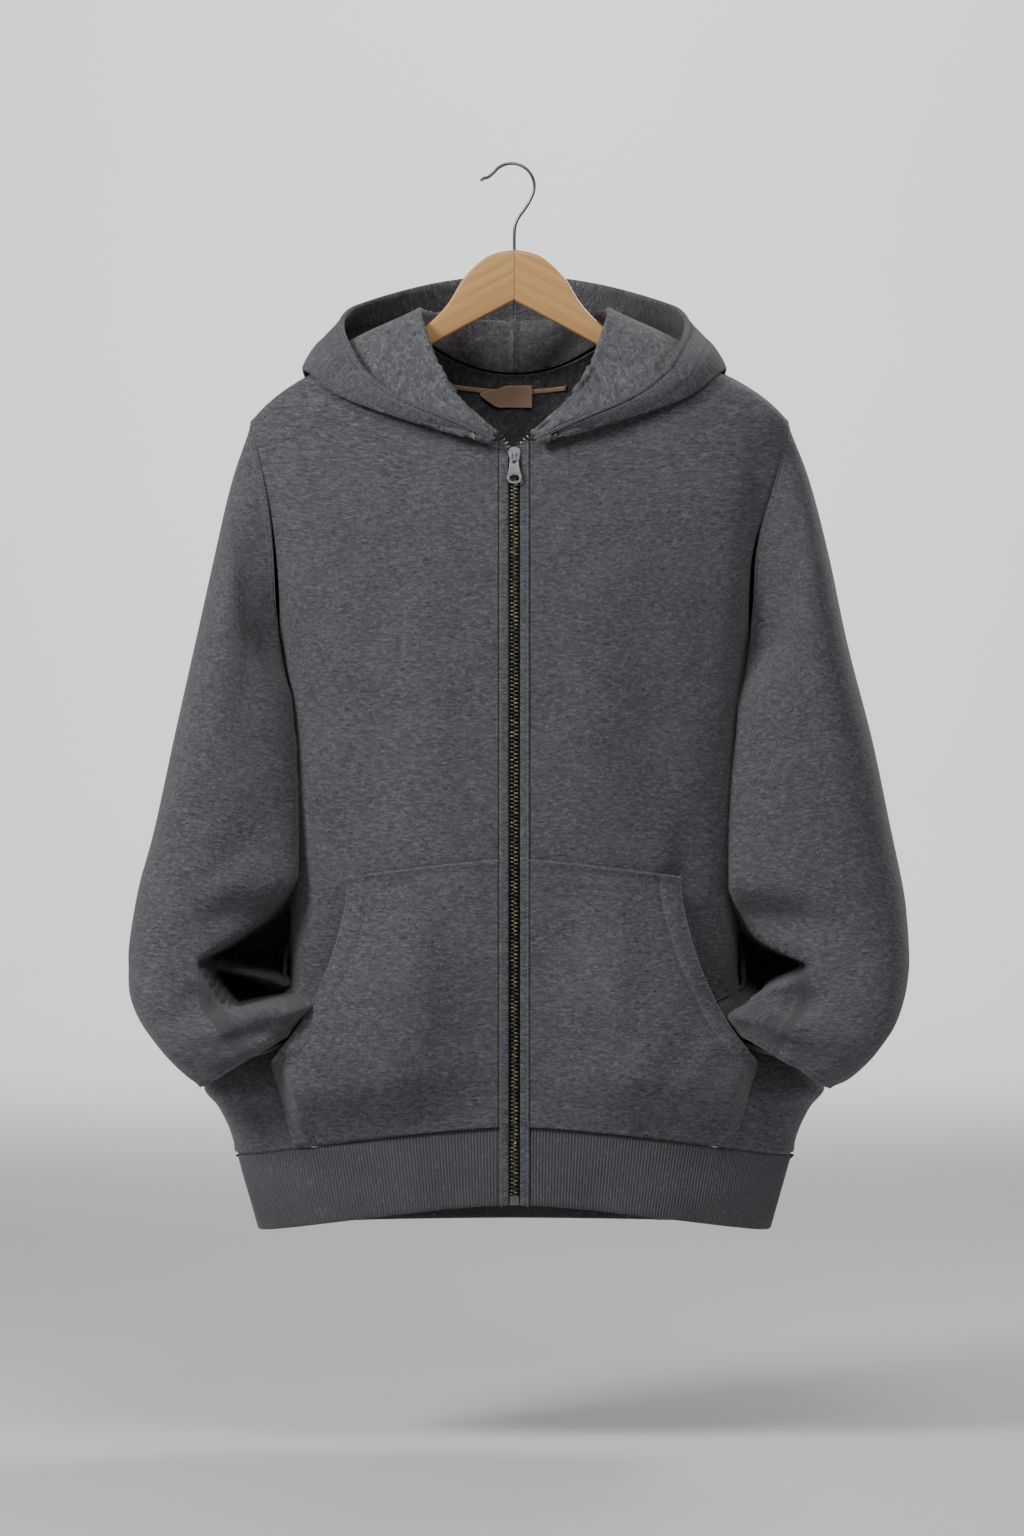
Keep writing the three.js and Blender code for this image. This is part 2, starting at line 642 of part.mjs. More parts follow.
// The profile of the hood's cloth at one place round the neck: up from the neck seam to
// the ridge, out and down to the bottom fold, and back up to the rim.
function hoodProfile(sign, station) {
  const t = Math.min(station.neck, 2);
  let neck;
  if (t <= 1) {
    const { x, z } = necklineXZ(1 - t);
    neck = torsoPoint('front', x, z);
  } else {
    const x = NECK_HALF * Math.cos((t - 1) * Math.PI / 2);
    neck = torsoPoint('back', x, backNeckZ(x));
  }
  const ridge = vec(station.rx, station.ry, station.rz);
  const fold = vec(station.bx, station.by, station.bz);
  const rim = vec(station.ex, station.ey, station.ez);
  const offBody = (point) => vec(point.x * 0.4, point.y, 60).normalize();
  const start = neck.clone().lerp(ridge, 0).addScaledVector(ridge.clone().sub(neck).normalize(), 1.5);
  const out = fold.clone().sub(ridge).setZ(0).normalize();
  const down = fold.clone().sub(ridge).normalize();
  const bend = Math.min(2.6, ridge.distanceTo(fold) * 0.2, fold.distanceTo(rim) * 0.3);
  const layerOne = start.clone().lerp(ridge, 0.55);
  const ridgeIn = ridge.clone().addScaledVector(out, -bend * 0.6).add(vec(0, 0, -bend));
  const ridgeOut = ridge.clone().addScaledVector(down, bend * 1.4);
  const layerTwo = ridge.clone().lerp(fold, 0.5);
  layerTwo.addScaledVector(offBody(layerTwo), Math.min(4, bend * 1.5));
  const foldIn = fold.clone().addScaledVector(down, -bend * 1.4).addScaledVector(offBody(fold), bend * 0.4);
  const rise = rim.clone().sub(fold).normalize();
  const foldOut = fold.clone().addScaledVector(out, bend).addScaledVector(rise, bend);
  const layerThree = fold.clone().lerp(rim, 0.5);
  layerThree.addScaledVector(offBody(layerThree), station.puff);
  const layerThreeLow = fold.clone().lerp(layerThree, 0.5).addScaledVector(out, station.puff * 0.4);
  const profile = [
    start, layerOne, ridgeIn, ridge, ridgeOut, layerTwo, foldIn, fold, foldOut,
    layerThreeLow, layerThree, rim,
  ];
  return profile.map((point) => vec(sign * point.x, point.y, point.z));
}

function hood(sign) {
  const places = [0, 0.5, 1, 1.5, 2, 2.5, 3, 3.5, 4, 4.5, 5, 5.5, 6, 6.5, 7, 7.5, 8, 8.5, 9, 10];
  const rows = HOOD.map((row, index) => ({ ...row, index }));
  const grid = places.map((place) => {
    const columns = Object.keys(HOOD[0]);
    const station = Object.fromEntries(columns.map((name) => [name, along(rows, 'index', place, name)]));
    return hoodProfile(sign, station);
  });
  const last = grid.length - 1;
  grid[last].forEach((point) => {
    point.x = sign * SEAM / 2;
  });
  const flat = (row) => (row === last ? 'x' : '');
  return wall(grid, CLOTH / 2, CLOTH / 2, { flat });
}

// ------------------------------------------------------------------- label and hanger

function insideBack(x, z, gap) {
  return vec(x, torsoY('back', Math.abs(x), z) - CLOTH - gap, z);
}

function hangingLoop() {
  const places = [-53, -35, -17, 0, 15, 30, 45];
  const grid = [2, -2].map((half) => places.map((x) => {
    const z = -191 + 4 * (x / 50) ** 2;
    return insideBack(x, z + half, 1 + 0.9 * (x / 50) ** 2);
  }));
  return wall(grid, 0, 0.6, { flat: () => 'z' });
}

function neckLabel() {
  const outline = table(['x', 'top', 'bottom'], [
    [-30, -192, -194],
    [-15, -188.5, -204],
    [-7, -186, -204.5],
    [5, -185.7, -204.5],
    [15.6, -185.5, -204.5],
  ]);
  const grid = ['top', 'bottom'].map((edge) => outline.map((row) => insideBack(row.x, row[edge], 2.1)));
  return wall(grid, 0, 0.8, { flat: () => 'z' });
}

// Top of the hanger's arm at a distance from the centre: just under the shoulder seam,
// then up in a round shoulder to the crown.
function hangerOutline() {
  const under = (x) => {
    const slope = (shoulderZ(x + 1) - shoulderZ(x - 1)) / 2;
    return shoulderZ(x) - (CLOTH + WOOD.gap) * Math.hypot(1, slope);
  };
  const right = [
    [14, -75.5], [27, -81.5], [44, -98], [55.5, -117], [67, -130.5], [77, -139.5], [85, -148], [94, -150.2],
    ...[112, 132, 152, 172, 188, 197].map((x) => [x, under(x)]),
    [WOOD.tipX, under(WOOD.tipX) - 6], [WOOD.tipX - 1, under(WOOD.tipX) - 13], [196, -216.5],
    [186, -213.5], [130, -185], [100, -170], [72, -155.5], [40, -138],
  ];
  const shape = new THREE.Shape();
  shape.moveTo(0, -73);
  right.forEach(([x, z]) => shape.lineTo(x, z));
  shape.lineTo(0, -117);
  right.toReversed().forEach(([x, z]) => shape.lineTo(-x, z));
  return shape;
}

function hangerArm(sign) {
  const { depth, bevel, bore } = WOOD;
  const whole = new THREE.ExtrudeGeometry(hangerOutline(), {
    depth: depth - 2 * bevel,
    bevelThickness: bevel,
    bevelSize: bevel,
    bevelOffset: -bevel,
    bevelSegments: 2,
  }).rotateX(Math.PI / 2).translate(0, depth / 2 - bevel, 0);
  const half = sign < 0 ? box(-300, -SEAM / 2, -20, 20, -300, 0) : box(SEAM / 2, 300, -20, 20, -300, 0);
  const stem = new THREE.CylinderGeometry(bore, bore, 60, 12).rotateX(Math.PI / 2).translate(0, 0, -76);
  return fromSolid(solid(whole).intersect(solid(half)).subtract(solid(stem)));
}

function hangerHook() {
  const centre = { x: -2.2, z: -18 };
  const radius = 19.4;
  const points = [[-29.4, -13.6], [-26.5, -11.5], [-23, -10.6]];
  for (let degrees = 145; degrees >= -20; degrees -= 15) {
    const angle = THREE.MathUtils.degToRad(degrees);
    points.push([centre.x + radius * Math.cos(angle), centre.z + radius * Math.sin(angle)]);
  }
  points.push([12.6, -32], [7.9, -39.4], [3.8, -45], [0.9, -51.5], [0, -60], [0, -75], [0, -90], [0, -104]);
  const path = new THREE.CatmullRomCurve3(points.map(([x, z]) => vec(x, 0, z)), false, 'centripetal');
  const section = new THREE.Shape().absarc(0, 0, WIRE, 0, Math.PI * 2);
  return new THREE.ExtrudeGeometry(section, { steps: 40, extrudePath: path, curveSegments: 5 });
}

// -------------------------------------------------------------------------- assembly

add('back', backPanel(), COLOURS.fleece);
for (const { name, sign } of SIDES) {
  add(`front_${name}`, frontPanel(sign), COLOURS.fleece);
  add(`sleeve_${name}`, sleeve(sign, SLEEVES[name]), COLOURS.fleece);
  add(`cuff_${name}`, cuff(sign), COLOURS.rib);
  add(`pocket_${name}`, pocket(sign), COLOURS.fleece);
  add(`hood_${name}`, hood(sign), COLOURS.fleece);
  const guard = strip(sign, GUARD.inner, GUARD.outer, ZIP_ROWS, guardProud, CLOTH);
  add(`zip_guard_${name}`, guard, COLOURS.fleece);
  const tapeRows = between(ZIP_TOP_Z - 1, ZIP_BOX.bottom + 2);
  const tape = strip(sign, TAPE.inner, TAPE.outer, tapeRows, () => -TAPE.behind, TAPE.thick);
  add(`zip_tape_${name}`, tape, COLOURS.tape);
  add(`hanger_arm_${name}`, hangerArm(sign), COLOURS.wood, { roughness: 0.4 });
}
add('hem_band', hemBand(), COLOURS.rib);

const metal = { roughness: 0.35, metalness: 1 };
const chainRows = between(ZIP_ROWS[0] - 11, ZIP_BOX.top + SEAM);
const chain = strip(1, -CHAIN.half, CHAIN.half, chainRows, () => -CHAIN.behind, CHAIN.thick);
add('zip_chain', chain, COLOURS.brass, metal);

const foot = along(TORSO, 'z', ZIP_BOX.bottom, 'front') + ZIP_BOX.proud;
add('zip_box', box(-4, 4, -foot, -foot + 4, ZIP_BOX.bottom, ZIP_BOX.top), COLOURS.steel, metal);

// The slider lies flat on the zip's top facet.
const sliderTop = ZIP_ROWS[0];
const sliderFoot = ZIP_ROWS[1];
const topStand = along(TORSO, 'z', sliderTop, 'front');
const footStand = along(TORSO, 'z', sliderFoot, 'front');
const sliderGroup = new THREE.Group();
sliderGroup.position.set(0, -(topStand + footStand) / 2, (sliderTop + sliderFoot) / 2);
sliderGroup.rotation.x = -Math.atan2(footStand - topStand, sliderTop - sliderFoot);
garment.add(sliderGroup);
add('zip_slider', slider(), COLOURS.steel, { ...metal, parent: sliderGroup });
add('zip_pull', pullTab(), COLOURS.steel, { ...metal, parent: sliderGroup });

add('hanging_loop', hangingLoop(), COLOURS.label);
add('neck_label', neckLabel(), COLOURS.label);
add('hanger_hook', hangerHook(), COLOURS.steel, metal);

export default garment;
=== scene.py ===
"""Full-zip hooded sweatshirt on a wooden hanger: its looks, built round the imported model.

Tables and shape functions are in millimetres, meshes in metres. The zip faces -Y, the
left side is -X, and the origin is the inside top of the hanger's hook.
"""

import math

import bmesh
import bpy
import numpy as np
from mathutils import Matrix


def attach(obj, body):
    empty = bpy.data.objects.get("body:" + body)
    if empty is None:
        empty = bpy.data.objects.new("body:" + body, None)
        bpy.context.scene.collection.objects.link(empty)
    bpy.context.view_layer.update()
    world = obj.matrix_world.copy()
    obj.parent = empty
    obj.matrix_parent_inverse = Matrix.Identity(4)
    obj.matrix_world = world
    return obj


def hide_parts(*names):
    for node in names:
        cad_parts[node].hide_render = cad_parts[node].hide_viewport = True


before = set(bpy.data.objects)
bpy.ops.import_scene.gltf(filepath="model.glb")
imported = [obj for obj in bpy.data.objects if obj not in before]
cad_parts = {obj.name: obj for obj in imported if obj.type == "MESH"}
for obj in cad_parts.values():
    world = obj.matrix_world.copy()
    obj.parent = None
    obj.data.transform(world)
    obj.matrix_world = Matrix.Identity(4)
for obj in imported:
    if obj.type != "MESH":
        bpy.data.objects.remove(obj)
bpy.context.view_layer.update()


# ------------------------------------------------------------------------------- camera
# A long lens, level with the middle of the garment and square to its front.

VIEW_HEIGHT = 1.321
VIEW_DISTANCE = 4.5
camera = bpy.data.objects.new("camera", bpy.data.cameras.new("camera"))
camera.data.sensor_fit = "VERTICAL"
camera.data.sensor_height = 36
camera.data.lens = 36 * VIEW_DISTANCE / VIEW_HEIGHT
camera.location = (-0.002, -VIEW_DISTANCE, -0.5185)
camera.rotation_euler = (math.pi / 2, 0, 0)
bpy.context.scene.collection.objects.link(camera)
bpy.context.scene.camera = camera


# ------------------------------------------------------------------- room and its light
# A pale floor that sweeps up into a far wall, a strong soft light above on the left, one
# over the front, a weak one on the right, one behind, and one for the wall.


class Wire:
    """A node's output, whose arithmetic adds Math nodes to the same tree."""

    def __init__(self, maker, socket):
        self.maker, self.socket = maker, socket

    def sum_of(self, operation, *values):
        return self.maker.node("ShaderNodeMath", {"operation": operation}, dict(enumerate(values)))

    def __add__(self, other):
        return self.sum_of("ADD", self, other)

    def __sub__(self, other):
        return self.sum_of("SUBTRACT", self, other)

    def __rsub__(self, other):
        return self.sum_of("SUBTRACT", other, self)

    def __mul__(self, other):
        return self.sum_of("MULTIPLY", self, other)

    def sine(self):
        return self.sum_of("SINE", self)

    def contour(self, width):
        """1 on the lines where a noise is at its middle value, 0 away from them."""
        return 1 - self.sum_of("ABSOLUTE", self - 0.5).step(width * 0.3, width)

    def step(self, low, high):
        """0 below low, 1 above high, smooth between."""
        return self.maker.node(
            "ShaderNodeMapRange", {"interpolation_type": "SMOOTHSTEP"},
            {"Value": self, "From Min": low, "From Max": high})

    def out(self, name):
        return Wire(self.maker, self.socket.node.outputs[name])


class Maker:
    """Adds nodes to one tree."""

    def __init__(self, tree):
        self.tree = tree

    def node(self, kind, settings=None, sockets=None):
        made = self.tree.nodes.new(kind)
        for key, value in (settings or {}).items():
            setattr(made, key, value)
        for key, value in (sockets or {}).items():
            if isinstance(value, Wire):
                self.tree.links.new(value.socket, made.inputs[key])
            else:
                made.inputs[key].default_value = value
        return Wire(self, next((s for s in made.outputs if s.enabled), None))


class Finish(Maker):
    """A material: one principled surface and what feeds it."""

    def __init__(self, name, **uniform):
        self.material = bpy.data.materials.new(name)
        self.material.use_nodes = True
        super().__init__(self.material.node_tree)
        self.tree.nodes.clear()
        self.surface = self.tree.nodes.new("ShaderNodeBsdfPrincipled")
        output = self.tree.nodes.new("ShaderNodeOutputMaterial")
        self.tree.links.new(self.surface.outputs[0], output.inputs["Surface"])
        for key, value in uniform.items():
            self.surface.inputs[key.replace("_", " ")].default_value = value

    def place(self, scale, kind="uv"):
        """Coordinates in metres times scale: the piece's own map, or its object's space."""
        if kind == "uv":
            start = self.node("ShaderNodeUVMap", {"uv_map": "cloth"})
        else:
            start = self.node("ShaderNodeTexCoord").out("Object")
        return self.node("ShaderNodeVectorMath", {"operation": "MULTIPLY"}, {0: start, 1: scale})

    def noise(self, vector, scale=1.0, detail=2.0, roughness=0.5, distortion=0.0):
        return self.node("ShaderNodeTexNoise", {}, {
            "Vector": vector, "Scale": scale, "Detail": detail, "Roughness": roughness,
            "Distortion": distortion})

    def blend(self, factor, first, second):
        """Two colours mixed by a factor."""
        mixed = self.tree.nodes.new("ShaderNodeMix")
        mixed.data_type = "RGBA"
        sockets = mixed.inputs[0], mixed.inputs[6], mixed.inputs[7]
        for socket, value in zip(sockets, (factor, first, second)):
            if isinstance(value, Wire):
                self.tree.links.new(value.socket, socket)
            else:
                socket.default_value = value if isinstance(value, float) else (*value, 1)
        return Wire(self, mixed.outputs[2])

    def set(self, name, value):
        self.tree.links.new(value.socket, self.surface.inputs[name])

    def relief(self, height, distance):
        """Bump from a height between 0 and 1 that stands for distance in metres."""
        self.set("Normal", self.node("ShaderNodeBump", {}, {"Height": height, "Distance": distance}))


def add_object(name, mesh, *materials):
    made = bpy.data.objects.new(name, mesh)
    bpy.context.scene.collection.objects.link(made)
    for finish in materials:
        mesh.materials.append(finish.material)
    return made


paper = Finish("studio paper", Roughness=0.9)
mottle = paper.noise(paper.place((1, 1, 1), "object"), 0.8)
paper.set("Base Color", paper.blend(mottle, (0.60, 0.60, 0.61), (0.66, 0.66, 0.67)))

FLOOR_Z, FLOOR_FRONT_Y, ROOM_HALF = -1.10, -7.0, 8
WALL_Y, WALL_TOP_Z = 9.0, 5.5
SWEEP, SWEEP_STEPS = 3.0, 16
sweep = [(FLOOR_FRONT_Y, FLOOR_Z), (WALL_Y - SWEEP, FLOOR_Z)]
for step in range(1, SWEEP_STEPS + 1):
    turn = step / SWEEP_STEPS * math.pi / 2
    sweep.append((WALL_Y + SWEEP * (math.sin(turn) - 1), FLOOR_Z + SWEEP * (1 - math.cos(turn))))
sweep.append((WALL_Y, WALL_TOP_Z))
room_mesh = bpy.data.meshes.new("room")
room_mesh.from_pydata(
    [(x, y, z) for y, z in sweep for x in (-ROOM_HALF, ROOM_HALF)], [],
    [(2 * k, 2 * k + 1, 2 * k + 3, 2 * k + 2) for k in range(len(sweep) - 1)])
for face in room_mesh.polygons:
    face.use_smooth = True
room = add_object("room", room_mesh, paper)

world = bpy.data.worlds.new("studio")
world.use_nodes = True
sky = world.node_tree.nodes["Background"]
sky.inputs["Color"].default_value = (0.80, 0.84, 0.9, 1)
sky.inputs["Strength"].default_value = 0.19
bpy.context.scene.world = world


def soft_light(name, place, size, power, aim=(0, 0, -0.5)):
    lamp = bpy.data.lights.new(name, "AREA")
    lamp.shape, lamp.size, lamp.energy = "DISK", size, power
    holder = bpy.data.objects.new(name, lamp)
    bpy.context.scene.collection.objects.link(holder)
    holder.location = place
    facing = np.array(aim) - np.array(place)
    holder.rotation_euler = (
        math.atan2(math.hypot(facing[0], facing[1]), -facing[2]), 0,
        math.atan2(facing[1], facing[0]) - math.pi / 2)


soft_light("key", (-2.1, -1.7, 1.2), 1.0, 88)
soft_light("top", (0.3, -1.9, 1.7), 1.2, 30)
soft_light("fill", (2.6, -2.4, 0.2), 1.6, 8)
soft_light("back", (1.2, 1.5, 1.0), 1.0, 30, aim=(0, 0, -0.3))
soft_light("backdrop", (0, 5.2, 3.4), 3.0, 420, aim=(0, WALL_Y, 0))


# --------------------------------------------------------------------------- back panel
# One piece of heavy brushed fleece from the shoulder seams and the back neck down to the
# rib band. Its outside is smooth heathered jersey, its inside is brushed.

SIDES = (("left", -1), ("right", 1))
CLOTH, CUT_STEP = 2.0, 61
NECK_HALF, NECK_SIDE_Z, NECK_BACK_Z = 90, -142, -176
SHOULDER_X, SHOULDER_Z, SHOULDER_EXTRA, SHOULDER_ROUND = 228, -223, 9, 8
ARMPIT_X, ARMPIT_Z, ARMPIT_ROW_Z = 205, -421, -350
ZIP_TOP_Z, FRONT_EDGE = -241, 13.3
HEM_FRONT_Z, HEM_BACK_Z, HEM_SIDE_Z = -821, -847, -850
ROUNDNESS, NECK_CURVE, YOKE_CURVE, HEM_CURVE = 2.5, 1.48, 1.6, 1.3
SEAM, LAP = 0.3, 0.5
THREAD_LIFT = 0.15

# height, half width, and how far front and back stand off the side seam's plane
TORSO = np.array([
    (-142, 90, 0, 0), (-150, 108, 19, 26), (-160, 130, 30, 42), (-176, 165, 44, 57),
    (-188, 190, 52, 62), (-201, 209, 60, 67), (-223, 228, 68, 72), (-260, 228, 78, 77),
    (-300, 226, 85, 80), (-345, 222, 90, 82), (-390, 213, 93, 83), (-425, 205, 95, 84),
    (-505, 198, 98, 87), (-612, 192, 101, 88), (-675, 192, 102, 88), (-700, 192.5, 102, 88),
    (-715, 196, 102, 88), (-730, 206, 102, 88), (-745, 222, 101, 88), (-760, 240, 100, 87),
    (-792, 266, 96, 86), (-809, 254, 95, 85), (-829, 244, 94, 84), (-850, 238, 92, 83),
    (-914, 220, 86, 80)], float)


def mix(a, b, t):
    return a + (b - a) * t


def smooth(value):
    t = np.clip(value, 0, 1)
    return t * t * (3 - 2 * t)


def through(at, values):
    """Smooth curve through values (numbers or points) at rising or falling places."""
    at, values = np.asarray(at, float), np.asarray(values, float)
    if at[-1] < at[0]:
        at, values = at[::-1], values[::-1]

    def place(x):
        x = np.clip(np.asarray(x, float), at[0], at[-1])
        k = np.clip(np.searchsorted(at, x), 1, len(at) - 1)
        low, high = np.maximum(k - 2, 0), np.minimum(k + 1, len(at) - 1)
        step = at[k] - at[k - 1]
        t = (x - at[k - 1]) / step
        slope_in, slope_out = step / (at[k] - at[low]), step / (at[high] - at[k - 1])
        if values.ndim > 1:
            shape = x.shape + (1,) * (values.ndim - 1)
            t, slope_in, slope_out = (a.reshape(shape) for a in (t, slope_in, slope_out))
        return (values[k - 1] * (2 * t**3 - 3 * t**2 + 1)
                + (values[k] - values[low]) * slope_in * (t**3 - 2 * t**2 + t)
                + values[k] * (3 * t**2 - 2 * t**3)
                + (values[high] - values[k - 1]) * slope_out * (t**3 - t**2))

    return place


torso_half, front_depth, back_depth = (through(TORSO[:, 0], TORSO[:, k]) for k in (1, 2, 3))
torso_depth = {"front": front_depth, "back": back_depth}


def shoulder_fall(share):
    """The shoulder seam falls gently, then quickly at its end."""
    return 0.74 * share + 0.26 * share**6


def shoulder_z(x):
    share = np.maximum((np.abs(x) - NECK_HALF) / (SHOULDER_X - NECK_HALF), 0)
    return NECK_SIDE_Z + (SHOULDER_Z - NECK_SIDE_Z) * shoulder_fall(share)


def front_neckline(angle):
    """Its x and z: angle 0 is at the shoulder, a quarter turn at the zip."""
    x = FRONT_EDGE + (NECK_HALF - FRONT_EDGE) * np.maximum(np.cos(angle), 0) ** NECK_CURVE
    return x, NECK_SIDE_Z + (ZIP_TOP_Z - NECK_SIDE_Z) * np.sin(angle) ** NECK_CURVE


def back_neckline_z(x):
    return mix(NECK_BACK_Z, NECK_SIDE_Z, (x / NECK_HALF) ** 2)


def torso_y(face, x, z):
    """How far the torso stands off its middle plane. Front and back meet at the sides
    and, rounded over, along the shoulders."""
    side = np.minimum(np.abs(x) / torso_half(z), 1)
    below = np.clip((shoulder_z(x) - z) / SHOULDER_ROUND, 0, 1)
    round_off = ((1 - side**ROUNDNESS) * (1 - (1 - below) ** ROUNDNESS)) ** (1 / ROUNDNESS)
    depth = np.maximum(torso_depth[face](z) * round_off, SEAM / 2)
    return -depth if face == "front" else depth


def torso_point(face, x, z):
    """A point of the torso. The right shoulder sits a little further out."""
    out = smooth((x - NECK_HALF) / (SHOULDER_X - NECK_HALF)) * smooth((z - ARMPIT_ROW_Z) / 90)
    return np.stack([x + SHOULDER_EXTRA * out, torso_y(face, x, z), z + 0 * x], -1)


def sewn(points):
    """Front and back reach a little past each other where they're sewn together."""
    y = points[..., 1]
    return points - np.stack([0 * y, np.sign(y) * LAP * np.exp(-(y / 1.5) ** 2), 0 * y], -1)


def armhole(t):
    """Its x and z, from the shoulder point (0) to the armpit (1)."""
    high = (1 + np.cos(t * math.pi)) / 2
    return mix(ARMPIT_X, SHOULDER_X, high**3), mix(ARMPIT_Z, SHOULDER_Z, high)


def lengths(points, axis):
    """Distance along a grid of points from its first row or column."""
    steps = np.linalg.norm(np.diff(points, axis=axis), axis=-1)
    start = np.zeros_like(np.take(steps, [0], axis=axis))
    return np.concatenate([start, np.cumsum(steps, axis=axis)], axis=axis)


def even(curve, low, high, step, near=(0.35, 0.9, 1.8, 3.2)):
    """Places between low and high that lie evenly on a curve, and closer at its ends."""
    fine = np.linspace(low, high, 1200)
    along = lengths(curve(fine).reshape(-1, 3), 0)
    total = along[-1]
    wanted = np.linspace(0, total, max(int(total / step), 2) + 1)
    margin = near[-1] + step / 3 if near else step / 2
    inner = wanted[(wanted > margin) & (wanted < total - margin)]
    first, last = [0, *near], [*(total - d for d in reversed(near)), total]
    return np.interp(np.concatenate([first, inner, last]), along, fine)


def lay_map(mesh, chart):
    """Gives each point of a mesh its place on a flat map, which its finish follows."""
    corners = np.empty(len(mesh.loops), int)
    mesh.loops.foreach_get("vertex_index", corners)
    mesh.uv_layers.new(name="cloth").data.foreach_set("uv", (chart / 1000)[corners].ravel())


class Cloth:
    """A piece of cloth on a grid of points: rows run down it, columns run across it."""

    def __init__(self, points, outward):
        self.points, self.outward = points, outward
        self.groove = np.zeros(points.shape[:2])
        self.across, self.down = lengths(points, 1), lengths(points, 0)
        self.map = np.stack([self.across, -self.down], -1)

    def level_rows(self):
        """The knitted rows lie level in a piece that hangs straight."""
        self.map[..., 1] = self.points[..., 2]

    def cut_from(self, sign, start):
        """Each side's piece is cut from its own part of the cloth, so nothing mirrors."""
        self.map = self.map * (sign, 1) + (start * sign, CUT_STEP * sign)

    @property
    def normals(self):
        square = np.cross(np.gradient(self.points, axis=1), np.gradient(self.points, axis=0))
        size = np.maximum(np.linalg.norm(square, axis=-1, keepdims=True), 1e-9)
        return self.outward * square / size

    def to_edge(self, edge):
        """Distance of each point from one edge: top, bottom, start or end."""
        return {"start": self.across, "end": self.across[:, -1:] - self.across,
                "top": self.down, "bottom": self.down[-1:] - self.down}[edge]

    def push(self, amount):
        self.points = self.points + self.normals * np.asarray(amount)[..., None]

    def crease(self, path, width, height, facing=-1, steep=1.0):
        """A soft ridge, or a trough where height is negative, along a path seen from the
        front (facing -1) or the back (1). It dies away at both ends, and its side on the
        right of the path is narrower where steep is below 1."""
        path = np.array(path, float)
        spans = np.linalg.norm(np.diff(path, axis=0), axis=1)
        starts = np.concatenate([[0], np.cumsum(spans)])
        seen = self.points[..., [0, 2]]
        best = np.full(seen.shape[:2], 1e9)
        where = np.zeros(seen.shape[:2])
        right = np.zeros(seen.shape[:2], bool)
        for k, span in enumerate(spans):
            run = (path[k + 1] - path[k]) / span
            t = np.clip((seen - path[k]) @ run, 0, span)
            offset = seen - path[k]
            away = np.linalg.norm(offset - t[..., None] * run, axis=-1)
            clockwise = run[0] * offset[..., 1] - run[1] * offset[..., 0] < 0
            where = np.where(away < best, (starts[k] + t) / starts[-1], where)
            right = np.where(away < best, clockwise, right)
            best = np.minimum(away, best)
        taper = np.sin(math.pi * np.clip(where * 0.92 + 0.04, 0, 1)) ** 0.6
        x, z = path[0]
        uneven = 1 + 0.25 * np.sin(where * 9 + x * 0.05) * np.cos(where * 5 + z * 0.03)
        turned = smooth((facing * self.normals[..., 1] + 0.15) / 0.5)
        reach = np.where(right, width * steep, width)
        self.push(height * np.exp(-(best / reach) ** 2) * taper * uneven * turned)

    def seam(self, edge, depth=1.0, roll=0.5, line=5.0):
        """The dip of the outer face at a sewn edge, and the roll of the allowance beside it."""
        away = self.to_edge(edge)
        ends = ("top", "bottom") if edge in ("start", "end") else ("start", "end")
        roll = roll * smooth(np.minimum(*(self.to_edge(e) for e in ends)) / 8)
        self.push(roll * np.exp(-((away - line) / (line * 0.45)) ** 2))
        self.groove = np.maximum(self.groove, depth * np.exp(-(away / 1.5) ** 2))

    def at(self, rows, columns, lift):
        """Points at fractional rows and columns, lifted off the surface."""
        rows, columns = np.broadcast_arrays(np.asarray(rows, float), np.asarray(columns, float))
        r = np.clip(rows.astype(int), 0, self.points.shape[0] - 2)
        c = np.clip(columns.astype(int), 0, self.points.shape[1] - 2)
        a, b = (rows - r)[..., None], (columns - c)[..., None]

        def blend(grid):
            return ((grid[r, c] * (1 - b) + grid[r, c + 1] * b) * (1 - a)
                    + (grid[r + 1, c] * (1 - b) + grid[r + 1, c + 1] * b) * a)

        normals = blend(self.normals)
        return blend(self.points) + normals * lift, normals

    def line(self, edge, inset, start=0.0, end=1.0):
        """A line of stitching at a set distance inside an edge, between two parts of that
        edge: its points, and the directions off the cloth there."""
        upright = edge in ("start", "end")
        away, grid = self.to_edge(edge), self.points
        if not upright:
            away, grid = away.T, grid.swapaxes(0, 1)
        places = np.arange(away.shape[1])
        if edge in ("end", "bottom"):
            inward = [np.interp(inset, strip[::-1], places[::-1]) for strip in away]
            run = lengths(grid[:, -1], 0)
        else:
            inward = [np.interp(inset, strip, places) for strip in away]
            run = lengths(grid[:, 0], 0)
        share = run / run[-1]
        keep = (share >= start) & (share <= end)
        beside, inward = np.arange(len(away))[keep], np.array(inward)[keep]
        rows, columns = (beside, inward) if upright else (inward, beside)
        return self.at(rows, columns, THREAD_LIFT)

    def build(self, name, thick, finishes, free=("start", "end", "top", "bottom")):
        """Closes the wall, with its free edges rounded over, and returns the object. A
        second finish is for its inner face."""
        rows, columns = self.points.shape[:2]
        away = np.minimum.reduce([np.full((rows, columns), 1e3), *(self.to_edge(e) for e in free)])
        radius = thick / 2
        inside = np.clip(1 - away / radius, 0, 1)
        turn = radius * (1 - np.sqrt(1 - inside**2 * 0.96))
        normals = self.normals
        outer = self.points - normals * np.maximum(turn, self.groove)[..., None]
        inner = self.points - normals * (thick - turn)[..., None]
        count = rows * columns
        grid = np.arange(count).reshape(rows, columns)

        def quads(a, b, c, d):
            return np.stack([a, b, c, d], -1).reshape(-1, 4)

